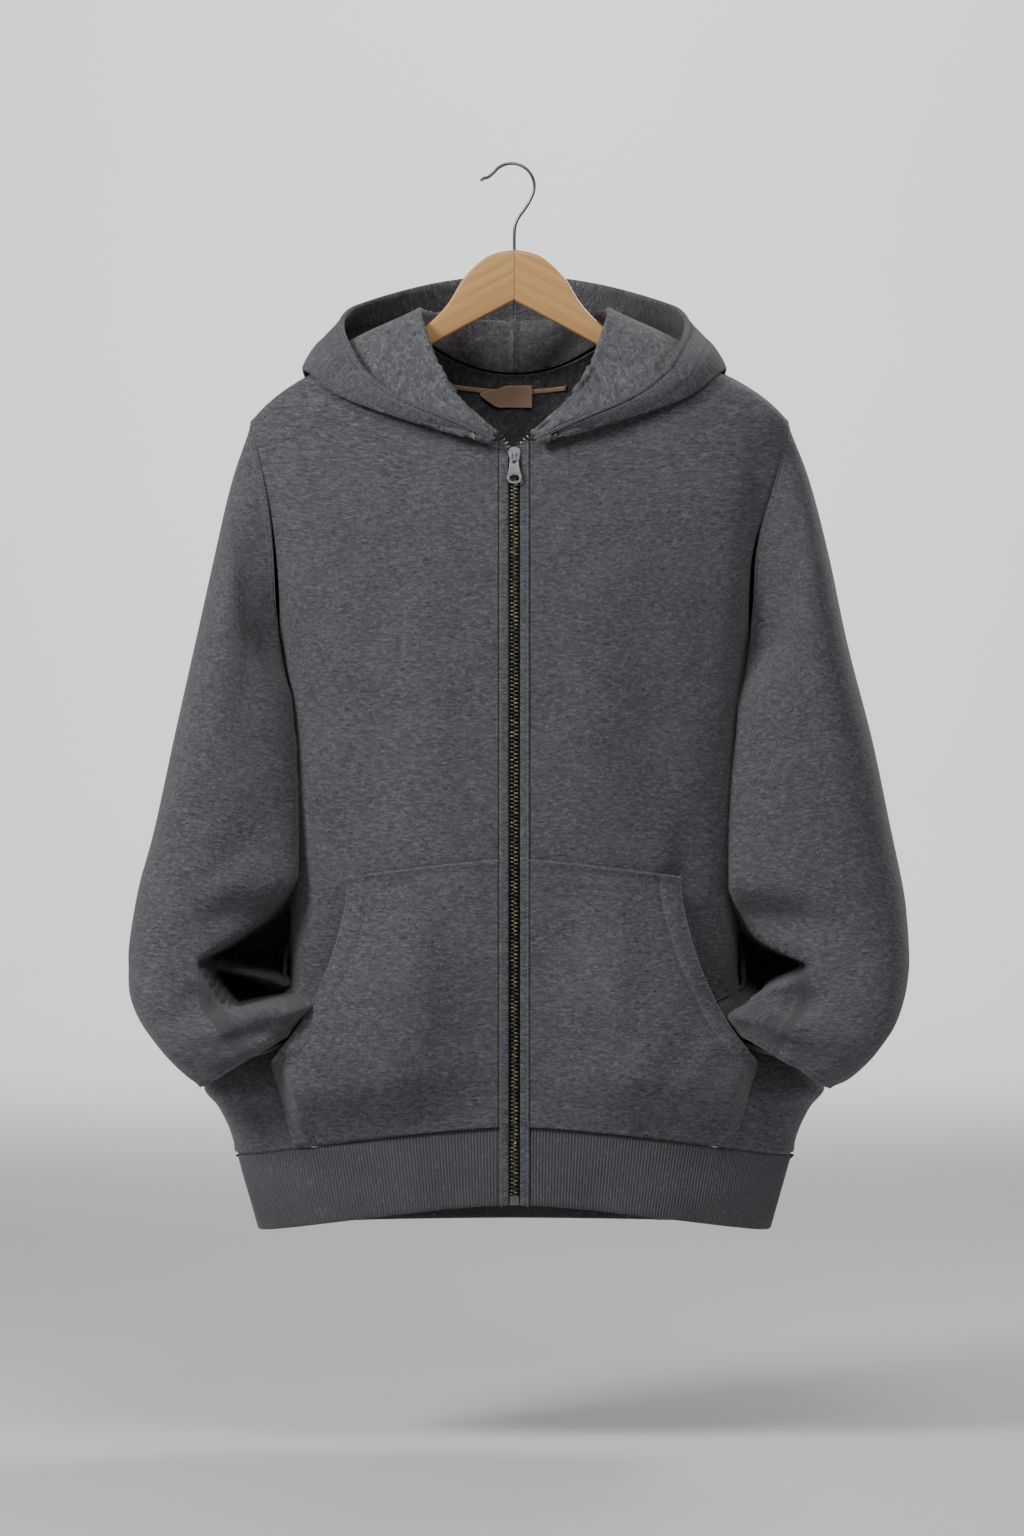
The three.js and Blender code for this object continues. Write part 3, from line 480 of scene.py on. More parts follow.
        front = quads(grid[:-1, :-1], grid[:-1, 1:], grid[1:, 1:], grid[1:, :-1])
        back = quads(grid[:-1, :-1], grid[1:, :-1], grid[1:, 1:], grid[:-1, 1:]) + count
        rim = np.concatenate([grid[0, :-1], grid[:-1, -1], grid[-1, :0:-1], grid[:0:-1, 0]])
        after = np.roll(rim, -1)
        sides = quads(rim, rim + count, after + count, after)
        faces = np.concatenate([front, back, sides])
        if self.outward < 0:
            faces = faces[:, ::-1]
        mesh = bpy.data.meshes.new(name)
        both = np.concatenate([outer, inner]).reshape(-1, 3)
        mesh.from_pydata((both / 1000).tolist(), [], faces.tolist())
        lay_map(mesh, np.tile(self.map.reshape(-1, 2), (2, 1)))
        slots = np.zeros(len(faces), int)
        if len(finishes) > 1:
            slots[len(front):len(front) + len(back)] = 1
        mesh.polygons.foreach_set("material_index", slots)
        mesh.polygons.foreach_set("use_smooth", np.ones(len(faces), bool))
        piece = add_object(name, mesh, *finishes)
        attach(piece, "garment")
        return piece


def fleece_finish(name, dark, light, fibres, nap):
    """Heathered fleece: short curling fibres, pale and dark, along the knitted rows."""
    cloth = Finish(name, Sheen_Weight=0.16, Sheen_Roughness=0.5, Specular_IOR_Level=0.2)

    def strands(size, offset):
        start = cloth.node("ShaderNodeVectorMath", {"operation": "ADD"}, {
            0: cloth.place((fibres[0] * size, fibres[1] * size, 0)),
            1: (offset, offset * 1.7, offset)})
        return cloth.noise(start, 1.0, 2.0, 0.6, 0.5)

    curl, tuft = strands(1.0, 3.1), strands(0.8, 11.7)
    fine = cloth.noise(cloth.place((900, 1500, 0)), 1.0, 2.0)
    broad = cloth.noise(cloth.place((22, 30, 0)), 1.0, 3.0)
    pale = curl.contour(0.07) * tuft.step(0.42, 0.6)
    tone = (fine - 0.5) * 0.75 + (broad - 0.5) * 0.16 + (tuft - 0.5) * 0.5 + 0.40
    tone = tone + pale * 0.26 - curl.step(0.56, 0.7) * 0.2
    cloth.set("Base Color", cloth.blend(tone.step(-0.1, 1.1), dark, light))
    cloth.set("Roughness", fine * 0.1 + 0.86)
    cloth.relief(pale * 0.4 + fine * 0.3 + tuft * 0.5, nap)
    return cloth


fleece = fleece_finish(
    "heathered fleece", (0.014, 0.014, 0.017), (0.165, 0.165, 0.178), (215, 540), 0.0007)
brushed = fleece_finish(
    "brushed fleece", (0.024, 0.024, 0.028), (0.19, 0.19, 0.20), (260, 200), 0.0011)

# A panel's rows are numbered: 0 to 8 cross the yoke, down the neckline (which ends at row
# 5 in front) and round the armhole, and 8 to 19 go down to the hem.
ARMPIT_ROW, NECK_ROW, LAST_ROW = 8, 5, 19
YOKE_NECK = through(range(6), [0, 0.05, 0.25, 0.5, 0.75, 1])
YOKE_ARMHOLE = through(range(9), [0, 0.05, 0.15, 0.28, 0.42, 0.57, 0.72, 0.87, 1])
FRONT_ROWS = [-415, -480, -545, -605, -650, -690, -725, -755, -780, -802, HEM_FRONT_Z]
BACK_ROWS = [-415, -480, -545, -605, -652, -694, -732, -764, -794, -822, HEM_BACK_Z]
SIDE_ROWS = [-462, -510, -562, -614, -658, -702, -742, -772, -795, -822, HEM_SIDE_Z]
BODY_ROWS = range(ARMPIT_ROW, LAST_ROW + 1)
side_row = through(BODY_ROWS, [ARMPIT_Z, *SIDE_ROWS])
ARMPIT_EASE = 0.8
HEM_STITCHES = (3.0, 8.2)


def side_edge(index):
    """The panel's outer edge: the armhole down to the armpit, then the side seam."""
    x, z = armhole(np.clip(YOKE_ARMHOLE(np.minimum(index, ARMPIT_ROW)), 0, 1))
    low = side_row(np.maximum(index, ARMPIT_ROW))
    seam_x = torso_half(low) - ARMPIT_EASE * (1 - smooth((ARMPIT_Z - low) / 40))
    return np.where(index <= ARMPIT_ROW, x, seam_x), np.where(index <= ARMPIT_ROW, z, low)


def back_surface(index, s):
    """The back's outer face at a row and at a share of its half width, left to right."""
    outer_x, side_z = side_edge(index)
    share = np.abs(s)
    reach = share * SHOULDER_X
    top = np.where(reach < NECK_HALF, back_neckline_z(reach), shoulder_z(reach))
    low = (1 - np.cos(YOKE_ARMHOLE(np.minimum(index, ARMPIT_ROW)) * math.pi)) / 2
    yoke = mix(top, mix(ARMPIT_ROW_Z, ARMPIT_Z, share**YOKE_CURVE), low)
    centre = through(BODY_ROWS, [ARMPIT_ROW_Z, *BACK_ROWS])(np.maximum(index, ARMPIT_ROW))
    curve = mix(YOKE_CURVE, HEM_CURVE, np.clip(index - ARMPIT_ROW, 0, 1))
    body = mix(centre, side_z, share**curve)
    return sewn(torso_point("back", s * outer_x, np.where(index <= ARMPIT_ROW, yoke, body)))


# the columns are spread evenly across this row
BACK_GRID, GRID_ROW = 4.4, 12
back_columns = even(lambda s: back_surface(GRID_ROW, s), -1, 1, BACK_GRID)
back_rows = even(lambda i: back_surface(i, 0.3), 0, LAST_ROW, BACK_GRID)
back = Cloth(back_surface(back_rows[:, None], back_columns[None, :]), 1)
back.level_rows()
back.map[..., 0] -= back.map[:, len(back_columns) // 2][:, None, 0]
for path, width, height in [
    ([(-150, -300), (-120, -420), (-130, -560)], 22, -3.5),
    ([(140, -290), (125, -430), (138, -600)], 24, -3.5),
    ([(-60, -470), (-40, -640), (-75, -780)], 26, 3.0),
    ([(55, -420), (30, -600), (60, -800)], 30, 3.0),
    ([(-8, -360), (6, -520), (-4, -700)], 22, -2.4),
    ([(-190, -640), (-120, -700), (-40, -730)], 13, -3.0),
    ([(190, -650), (110, -720), (50, -745)], 13, -3.0),
    ([(-180, -690), (-110, -760), (-60, -790)], 12, 2.6),
    ([(185, -700), (120, -770), (60, -800)], 12, 2.6),
]:
    back.crease(path, width, height, facing=1)
for edge in ("start", "end"):
    back.seam(edge, 0.9, 0.4)
back.seam("bottom", 1.2, 1.6, 5)
back.seam("top", 0.6, 0.4)
back_piece = back.build("back_panel", CLOTH, [fleece, brushed], free=())
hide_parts("back")
# the lines of stitching on each kind of piece, which the last section sews
stitch_lines = {kind: [] for kind in ("back", "front", "guard", "hood", "pocket", "sleeve")}
stitch_lines["back"] += [back.line("bottom", inset) for inset in HEM_STITCHES]


# --------------------------------------------------------------------------- the fronts
# Two fronts of the same fleece, open at the zip, sewn to the back along the shoulders
# and sides. Each hangs almost smooth, with slow vertical folds below the armholes.


def front_surface(sign):
    centre_z = through(
        range(NECK_ROW, LAST_ROW + 1), [ZIP_TOP_Z, -268, -305, ARMPIT_ROW_Z, *FRONT_ROWS])

    def surface(index, s):
        """The outer face at a row and at a share of the way from the zip to the side."""
        angle = np.clip(YOKE_NECK(np.minimum(index, NECK_ROW)), 0, 1) * math.pi / 2
        neck_x, neck_z = front_neckline(angle)
        inner_x = np.where(index <= NECK_ROW, neck_x, FRONT_EDGE)
        inner_z = np.where(index <= NECK_ROW, neck_z, centre_z(np.maximum(index, NECK_ROW)))
        outer_x, outer_z = side_edge(index)
        x = mix(inner_x, outer_x, s)
        down = np.minimum(index, ARMPIT_ROW) / (ARMPIT_ROW + 1)
        yoke = mix(shoulder_fall(s), s**YOKE_CURVE, down)
        fall = mix(yoke, s**HEM_CURVE, np.clip(index - ARMPIT_ROW, 0, 1))
        return sewn(torso_point("front", sign * x, mix(inner_z, outer_z, fall)))

    return surface


FRONT_CREASES = {
    -1: [([(-206, -240), (-205, -330), (-200, -430), (-193, -520)], 9, -5.0),
         ([(-186, -250), (-180, -360), (-176, -480)], 13, 2.2),
         ([(-120, -380), (-112, -520), (-122, -600)], 28, -4.6),
         ([(-75, -330), (-66, -450), (-72, -590)], 24, 2.8),
         ([(-150, -560), (-143, -610), (-150, -670), (-168, -720), (-190, -752)], 15, -10.0)],
    1: [([(208, -250), (207, -340), (200, -440), (192, -540)], 9, -5.0),
        ([(186, -260), (181, -370), (178, -500)], 13, 2.2),
        ([(125, -380), (118, -500), (128, -600)], 28, -4.4),
        ([(70, -340), (62, -460), (66, -590)], 24, 2.6),
        ([(150, -560), (143, -610), (150, -670), (168, -720), (190, -752)], 15, -8.0)],
}
FRONT_GRID = 3.8
for side, sign in SIDES:
    surface = front_surface(sign)
    columns = even(lambda s: surface(GRID_ROW, s), 0, 1, FRONT_GRID)
    rows = even(lambda i: surface(i, 0.5), 0, LAST_ROW, FRONT_GRID)
    front = Cloth(surface(rows[:, None], columns[None, :]), -sign)
    front.level_rows()
    front.cut_from(sign, FRONT_EDGE)
    for path, width, height in FRONT_CREASES[sign]:
        front.crease(path, width, height)
    front.seam("end", 1.0, 0.5)
    front.seam("bottom", 1.2, 1.7, 5)
    front.seam("top", 0.6, 0.4)
    stitch_lines["front"] += [front.line("bottom", inset) for inset in HEM_STITCHES]
    piece = front.build(f"front_{side}_panel", CLOTH, [fleece, brushed], free=("start",))
    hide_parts(f"front_{side}")


# -------------------------------------------------------------------------- the sleeves
# Set-in sleeves of the same fleece, each one piece joined along the underarm and
# ballooned. The elbow folds sharply, and the end is tucked in behind the pocket.

# outer x, z, inner x, z, centre y, half depth, and 1 where the elbow folds
SLEEVES = {
    "left": [
        (243, -272, 210, -451, 8, 62, 0), (258, -337, 208.6, -477, 6, 76, 0),
        (275, -417, 206, -507, 4, 82, 0), (292, -494, 202, -546, 0, 80, 0),
        (309, -572, 197.5, -588, -6, 76, 0), (320.5, -615, 197.5, -617, -12, 73, 0),
        (326, -645, 197, -641, -20, 71, 1), (329, -670, 197, -662, -28, 68, 1),
        (329, -687, 197, -676, -34, 68, 1), (327, -712, 197, -690, -44, 64, 1),
        (316.5, -735, 199, -706, -56, 57, 1), (295.5, -760, 193.5, -716, -77, 47, 0),
        (277, -778, 190.5, -730, -85, 35, 0), (262, -788, 191.5, -745, -89, 22, 0)],
    "right": [
        (253.6, -270, 212, -452, 8, 62, 0), (270.5, -336, 211, -478, 6, 76, 0),
        (287, -417, 208, -508, 4, 82, 0), (307, -494, 203, -546, 0, 80, 0),
        (322, -566, 198, -588, -6, 76, 0), (333, -620, 197.5, -620, -12, 73, 0),
        (336, -648, 197, -645, -20, 71, 1), (337, -672, 197, -665, -28, 68, 1),
        (336.5, -690, 197, -679, -34, 67, 1), (332, -714, 197, -692, -44, 63, 1),
        (322, -738, 199, -707, -56, 57, 1), (302, -763, 191.5, -718, -77, 47, 0),
        (282, -781, 189.5, -731, -85, 35, 0), (263, -788.5, 191.5, -745, -89, 22, 0)],
}

SLEEVE_PATTERN_START, SLEEVE_GRID = 400, (3.0, 3.4)
# the sleeve's head starts this far inside the armhole, and a little over the shoulder
TUCK, HEAD_LIFT = 2.2, 1.2
ELBOW_BACK, ELBOW_APEX_Z, SECTION_POWER = 45, {-1: -684, 1: -688}, 0.85
# how far the inner side may move in towards the body, what gap it keeps, and where
NESTLE_REACH, NESTLE_CLEAR, NESTLE_TOP, NESTLE_BOTTOM = 28, 1.5, -402, -745
# how far out the hollow of the elbow's fold reaches at each height, its lower edge, and
# how close its front cloth comes to the cloth behind
HOLLOWS = {
    -1: through([-612, -630, -646, -658, -672, -682, -692, -706, -718, -727, -735],
                [186, 200, 215, 232, 253, 266, 260, 251, 240, 222, 186]),
    1: through([-622, -641, -652, -667, -677, -683, -689, -694, -699, -705, -711, -718, -728],
               [184, 193, 200, 215, 232, 246, 248, 242, 228, 214, 203, 195, 184])}
HOLLOW_FLOOR, HOLLOW_GAP = {-1: (-717.5, 0.15), 1: (-740, 0)}, 16
# the lip of cloth that hangs across the left elbow's hollow
LIP_X, LIP_Z, LIP_HALF, LIP_OUT = [190, 228, 262], [-704, -694, -686], 6.5, 0.6


def signed_power(value, power):
    return np.sign(value) * np.abs(value) ** power


def ring(sign, sizes, turn, hollow=False):
    """A ring of a tube: turn 0 is its outer point, a half its inner one, front first.
    In a hollow its front cloth lies close to the cloth behind."""
    out_x, out_z, in_x, in_z, y, depth, folds = sizes
    angle = turn * 2 * math.pi
    inward = (1 - signed_power(np.cos(angle), SECTION_POWER)) / 2
    across = depth * signed_power(np.sin(angle), SECTION_POWER)
    x, z = mix(out_x, in_x, inward), mix(out_z, in_z, inward)
    middle = y + ELBOW_BACK * folds * inward**2
    behind = middle + across - np.minimum(HOLLOW_GAP, 2 * across)
    y = np.where(across > 0, behind, middle - across) if hollow else middle - across
    # the inner side rests against the body, as far in as the body's own curve lets it
    level = np.minimum(np.maximum(-y / torso_depth["front"](z), y / torso_depth["back"](z)), 1)
    body = torso_half(z) * (1 - level**ROUNDNESS) ** (1 / ROUNDNESS)
    reach = NESTLE_REACH * smooth((inward - 0.6) / 0.35) * smooth((np.abs(y) - 4) / 16)
    reach = reach * smooth((NESTLE_TOP - z) / 40) * smooth((z - NESTLE_BOTTOM) / 35)
    x = np.minimum(x, np.maximum(x - reach, body + NESTLE_CLEAR))
    return np.stack([sign * x, y, z], -1)


def armhole_ring(sign, turn):
    """The sleeve's head, just inside the armhole."""
    x, z = armhole(np.where(turn <= 0.5, turn * 2, 2 - turn * 2))
    front, behind = torso_point("front", sign * x, z), torso_point("back", sign * x, z)
    points = np.where((turn <= 0.5)[:, None], front, behind)
    points[:, 0] -= sign * TUCK
    points[:, 2] += HEAD_LIFT * smooth((points[:, 2] - SHOULDER_Z + 40) / 30)
    return points


def sleeve_surface(sign, sizes):
    level, fall = HOLLOW_FLOOR[sign]

    def tube(place, turn, hollow):
        rings = [ring(sign, size, turn, hollow) for size in sizes]
        return through(range(len(sizes) + 1), [armhole_ring(sign, turn), *rings])(place)

    def surface(place, turn):
        """The outer face at a ring's number and a turn, the elbow's hollow pressed in."""
        turn = turn % 1
        plain, deep = tube(place, turn, False), tube(place, turn, True)
        x, z = np.abs(plain[..., 0]), plain[..., 2]
        slope = mix(7, 15, smooth((z - ELBOW_APEX_Z[sign]) / 14))
        folded = smooth((HOLLOWS[sign](z) - x) / slope)
        folded = folded * smooth((z - level + fall * (x - 195)) / 6)
        if sign < 0:
            away = np.abs(z - np.interp(x, LIP_X, LIP_Z))
            folded = folded * (1 - LIP_OUT * np.sqrt(np.clip(1 - (away / LIP_HALF) ** 2, 0, 1)))
        folded = np.where((turn > 0) & (turn < 0.5), folded, 0)
        return mix(plain, deep, folded[..., None])

    return surface


SLEEVE_CREASES = {
    "left": [
        ([(-197, -614), (-222, -636), (-250, -660), (-276, -674)], 12, 4.0),
        ([(-282, -700), (-262, -712), (-246, -722)], 9, -6.0),
        ([(-248, -731), (-222, -727), (-196, -722)], 6, 4.5, 0.5),
        ([(-205, -735), (-196, -738), (-190, -742)], 4, 3.0, 0.5),
        ([(-262, -752), (-232, -744), (-200, -733)], 7, -5.5),
        ([(-258, -768), (-228, -757), (-198, -742)], 6, 4.5, 0.6),
        ([(-262, -772), (-240, -762), (-222, -752)], 10, -2.5),
        ([(-300, -660), (-280, -700), (-272, -740)], 16, -3.0),
        ([(-212, -570), (-240, -600), (-275, -622)], 16, -3.0),
        ([(-220, -600), (-252, -628), (-290, -650)], 14, 2.6),
        ([(-236, -330), (-232, -420), (-240, -520)], 16, -2.2),
        ([(-262, -400), (-268, -480), (-282, -560)], 20, 1.8),
        ([(-312, -690), (-304, -730), (-284, -764)], 9, 2.4),
    ],
    "right": [
        ([(197, -630), (216, -652), (240, -668), (262, -674)], 11, 4.5),
        ([(250, -694), (226, -704), (204, -716), (190, -730)], 5, 3.5, 1.6),
        ([(262, -706), (232, -724), (214, -733)], 9, -5.5),
        ([(250, -748), (226, -736), (204, -726)], 6, 5.0, 1.8),
        ([(256, -762), (234, -752), (212, -748)], 7, -4.5),
        ([(262, -760), (244, -768), (230, -776)], 8, -2.5),
        ([(300, -665), (282, -700), (276, -744)], 16, -3.0),
        ([(214, -575), (245, -606), (280, -628)], 16, -3.0),
        ([(222, -606), (256, -634), (296, -654)], 14, 2.6),
        ([(244, -330), (240, -420), (248, -520)], 16, -2.2),
        ([(274, -400), (280, -480), (296, -560)], 20, 1.8),
        ([(322, -694), (312, -736), (290, -768)], 9, 2.4),
    ],
}
# the underarm seam is at a half turn, and its two edges stand a hair apart
UNDERARM = (0.5006, 1.4994)
for side, sign in SIDES:
    sizes = SLEEVES[side]
    surface = sleeve_surface(sign, sizes)
    rows = even(lambda p: surface(p, np.full(1, 0.05))[:, 0], 0, len(sizes), SLEEVE_GRID[0])
    columns = even(lambda t: ring(sign, sizes[3], t % 1), *UNDERARM, SLEEVE_GRID[1])
    sleeve = Cloth(surface(rows, columns), sign)
    # the knitted rows lie level across the sleeve, so they're measured from its cap
    sleeve.map[..., 1] = sleeve.points[:1, :, 2] - sleeve.down
    sleeve.map[..., 0] -= sleeve.map[:, len(columns) // 2][:, None, 0]
    sleeve.cut_from(sign, SLEEVE_PATTERN_START)
    for path, width, height, *steep in SLEEVE_CREASES[side]:
        sleeve.crease(path, width, height, steep=steep[0] if steep else 1)
    # the broad ones show behind too, higher and wider
    for path, width, height in SLEEVE_CREASES[side][-7:]:
        sleeve.crease([(x, z + 26) for x, z in path], width * 1.4, height * 1.5, facing=1)
    sleeve.seam("top", 1.2, 0.9, 4)
    sleeve.seam("bottom", 0.8, 1.6, 4)
    sleeve.seam("start", 0.8, 0.3)
    sleeve.seam("end", 0.8, 0.3)
    for edge, inset in (("top", 3.2), ("top", 9.0), ("bottom", 2.6), ("bottom", 7.6)):
        stitch_lines["sleeve"].append(sleeve.line(edge, inset))
    piece = sleeve.build(f"sleeve_{side}_piece", CLOTH, [fleece, brushed], free=())
    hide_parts(f"sleeve_{side}")


# ----------------------------------------------------------------------------- the cuffs
# Short tubes of rib knit sewn to the sleeves' ends. They lie inside the pockets, where
# only a sliver shows.

# rings as in the sleeves' table, from the sewn end to the open one
CUFF = [
    (225, -755, 202, -741, -85, 9, 0), (218, -761.3, 199, -749.6, -82, 8, 0),
    (183, -752, 164, -738, -87, 7, 0), (165, -772, 141, -747, -98, 8, 0)]
RIB_PITCH, RIB_DEPTH = 2.6, 0.25
rib = Finish(
    "rib knit", Roughness=0.95, Sheen_Weight=0.15, Sheen_Roughness=0.5, Specular_IOR_Level=0.2)
rib_fine = rib.noise(rib.place((1100, 700, 0)), 1.0, 2.0)
rib_pale = rib.noise(rib.place((420, 160, 0)), 1.0, 2.0)
rib_broad = rib.noise(rib.place((16, 22, 0)), 1.0, 2.0)
rib_turn = rib.place((2000 * math.pi / RIB_PITCH, 0, 0))
# painted shade and light: the colour is darker in each rib's furrow and lighter on its ridge, in step
# with the furrows the geometry already has
painted_rib_shade = (rib.node("ShaderNodeSeparateXYZ", {}, {"Vector": rib_turn}) + math.pi / 2).sine()
rib_tone = (rib_fine - 0.5) * 0.6 + (rib_broad - 0.5) * 0.2 + 0.40
rib_tone = rib_tone + rib_pale.step(0.56, 0.7) * 0.16 + painted_rib_shade * 0.13
rib.set("Base Color", rib.blend(rib_tone.step(-0.1, 1.1), (0.014, 0.014, 0.017), (0.15, 0.15, 0.16)))
rib.relief(rib_fine, 0.0005)

CUFF_ROWS, CUFF_TURNS = 30, np.linspace(0.001, 0.999, 150)
for side, sign in SIDES:
    rings = [ring(sign, size, CUFF_TURNS) for size in CUFF]
    cuff = Cloth(through(range(len(CUFF)), rings)(np.linspace(0, len(CUFF) - 1, CUFF_ROWS)), sign)
    cuff.push(RIB_DEPTH * np.cos(cuff.across * 2 * math.pi / RIB_PITCH))
    piece = cuff.build(f"cuff_{side}_rib", CLOTH, [rib], free=("top", "bottom"))
    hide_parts(f"cuff_{side}")


# ---------------------------------------------------------------------------- the pocket
# Two halves of a kangaroo pocket, sewn flat on the fronts along the top, the zip, the
# hem and a short side. The long curved edge is open, turned in and stitched twice.

POCKET_TOP_Z, POCKET_TOP_DROP = -595, 15
POCKET_EDGE = [
    (-610, 141), (-633, 143), (-667, 151), (-696, 161), (-724, 174.5), (-743, 187),
    (-754, 196), (-763, 203), (-769, 206), (-794, 198), (-818, 192), (-838, 187)]
POCKET_CORNER_X, POCKET_CORNER_Z = 206, -769
# how far it stands off the front everywhere, at its open edge, and in its middle
POCKET_GAP, POCKET_GAPE, POCKET_BELLY = 3, 10, 26
POCKET_WALL, POCKET_TURNING, POCKET_TOP_TURNING = 2.4, 1.3, 0.8
POCKET_PATTERN_START, POCKET_GRID = 700, 2.8
pocket_x = through(*zip(*POCKET_EDGE))


def pocket_lift(x, z):
    """How far the pocket stands off the front: more, the further from its sewn seams."""
    corner = np.hypot(POCKET_CORNER_X - x, POCKET_CORNER_Z - z)
    to_side = np.where(z > POCKET_CORNER_Z, corner, pocket_x(z) - x)
    top = POCKET_TOP_Z - POCKET_TOP_DROP * (x / POCKET_EDGE[0][1])
    hem = mix(HEM_FRONT_Z, HEM_SIDE_Z, (x / torso_half(HEM_SIDE_Z)) ** HEM_CURVE)
    gape = smooth((top - z) / 50) * smooth((z - POCKET_CORNER_Z - 4) / 22)
    belly = smooth((top - z) / 110) * smooth((z - hem) / 55) * smooth((x - FRONT_EDGE) / 90)
    return (POCKET_GAPE * gape * np.exp(-((to_side / 36) ** 2))
            + POCKET_BELLY * belly * smooth(to_side / 14))


def pocket_surface(sign):
    def surface(low, s):
        edge_z = mix(POCKET_EDGE[0][0], POCKET_EDGE[-1][0], low)
        x = mix(FRONT_EDGE, pocket_x(edge_z), s)
        z = mix(mix(POCKET_TOP_Z, HEM_FRONT_Z, low), edge_z, s**1.2)
        y = torso_y("front", x, z) - POCKET_GAP - pocket_lift(x, z)
        return np.stack([sign * x, y, z], -1)

    return surface


POCKET_CREASES = {
    -1: [([(-60, -620), (-52, -700), (-58, -780)], 20, -2.6),
         ([(-150, -700), (-118, -750), (-84, -790)], 16, 3.0),
         ([(-110, -660), (-100, -730), (-70, -790)], 15, -2.6),
         ([(-168, -742), (-150, -768), (-120, -796)], 9, 2.0)],
    1: [([(52, -620), (48, -700), (54, -780)], 20, -2.4),
        ([(146, -700), (120, -750), (90, -790)], 16, 2.8),
        ([(108, -660), (100, -740), (72, -792)], 15, -2.4),
        ([(172, -744), (156, -770), (132, -798)], 9, 2.0)],
}
for side, sign in SIDES:
    surface = pocket_surface(sign)
    columns = even(lambda s: surface(0.5, s), 0, 1, POCKET_GRID)
    rows = even(lambda low: surface(low, 0.6), 0, 1, POCKET_GRID)
    pocket = Cloth(surface(rows[:, None], columns[None, :]), -sign)
    pocket.level_rows()
    pocket.cut_from(sign, POCKET_PATTERN_START)
    for path, width, height in POCKET_CREASES[sign]:
        pocket.crease(path, width, height)
    # the turnings stand proud, with a dip along each one's inner edge
    away, below = pocket.to_edge("end"), pocket.to_edge("top")
    pocket.push(1.3 * smooth((19 - away) / 2.0) - 1.1 * np.exp(-((away - 20.5) / 1.8) ** 2))
    pocket.push(1.2 * smooth((5.5 - below) / 2.0) - 0.7 * np.exp(-((below - 7) / 1.6) ** 2))
    thick = (POCKET_WALL + POCKET_TURNING * smooth((20 - away) / 2.5)
             + POCKET_TOP_TURNING * smooth((6 - below) / 2))
    stitch_lines["pocket"] += [
        pocket.line("top", 1.6), pocket.line("end", 2.0), pocket.line("end", 19.0, 0.02)]
    piece = pocket.build(f"pocket_{side}_half", thick, [fleece, brushed])
    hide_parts(f"pocket_{side}")


# -------------------------------------------------------------------------- the hem band
# One strip of rib knit, doubled over at the bottom and sewn on all round, open at the
# zip. Its ribs are real furrows 2.6 mm apart.

BAND_SIDE_Z, BAND_WALL = -914, 2.6
BAND_EDGES = {"front": (HEM_FRONT_Z, -887.5), "back": (HEM_BACK_Z, -912)}
# the columns are spread five to a rib, on a line round the band at this height
BAND_EVEN_HALF, BAND_EVEN_Z, BAND_GRID = 229, -880, RIB_PITCH / 5
front_share = even(
    lambda s: torso_point("front", mix(FRONT_EDGE, BAND_EVEN_HALF, s), BAND_EVEN_Z),
    0, 1, BAND_GRID, ())
back_share = even(
    lambda s: torso_point("back", BAND_EVEN_HALF * s, BAND_EVEN_Z), 0, 1, BAND_GRID, ())
lows = np.array([0, 0.01, 0.03, 0.06, *np.linspace(0.16, 0.84, 5), 0.94, 0.985, 1])
strips = []
for face, sign, share in [
        ("front", -1, front_share), ("back", -1, back_share[-2::-1]),
        ("back", 1, back_share[1:]), ("front", 1, front_share[-2::-1])]:
    s, low = share[None, :], lows[:, None]
    top, bottom = (mix(edge, side_z, s**HEM_CURVE) for edge, side_z in zip(
        BAND_EDGES[face], (HEM_SIDE_Z, BAND_SIDE_Z)))
    width = torso_half(mix(HEM_SIDE_Z, BAND_SIDE_Z, low))
    x = sign * (mix(FRONT_EDGE, width, s) if face == "front" else width * s)
    points = torso_point(face, x, mix(top - SEAM, bottom, low))
    points[..., 1] = np.where(np.abs(points[..., 1]) <= SEAM, 0, points[..., 1])
    strips.append(points)
band = Cloth(np.concatenate(strips, 1), 1)
# every rib runs straight down, so all rows are measured as one near the middle is
RIB_ROW = 7
band.across = np.repeat(band.across[RIB_ROW:RIB_ROW + 1], len(lows), 0)
band.map[..., 0] = band.across
for path, width, height, facing in [
    ([(-230, -868), (-150, -880), (-90, -884)], 12, 2.0, -1),
    ([(225, -870), (150, -884), (100, -880)], 12, 2.0, -1),
    ([(-60, -860), (-56, -880), (-60, -905)], 16, -1.8, -1),
    ([(70, -862), (66, -884), (70, -905)], 16, -1.8, -1),
    ([(-150, -860), (-140, -890), (-146, -910)], 14, -2.0, 1),
    ([(120, -860), (128, -890), (122, -912)], 16, -2.2, 1),
]:
    band.crease(path, width, height, facing)
fade = smooth(band.to_edge("top") / 4) * smooth((band.to_edge("bottom") + 1.5) / 4)
band.push((0.3 * np.cos(band.across * 2 * math.pi / RIB_PITCH) - 0.15) * fade)
band.push(-1.2 * np.exp(-(band.to_edge("top") / 1.6) ** 2))
band_piece = band.build("hem_rib", BAND_WALL, [rib], free=("start", "end", "bottom"))
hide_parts("hem_band")


# ------------------------------------------------------------------------------ the hood
# Two curved panels joined down the centre back. It is worn down: it stands up round the
# neck, falls over its ridge to a fold on the shoulders, and comes back up to the rim,
# which is turned in and stitched twice.

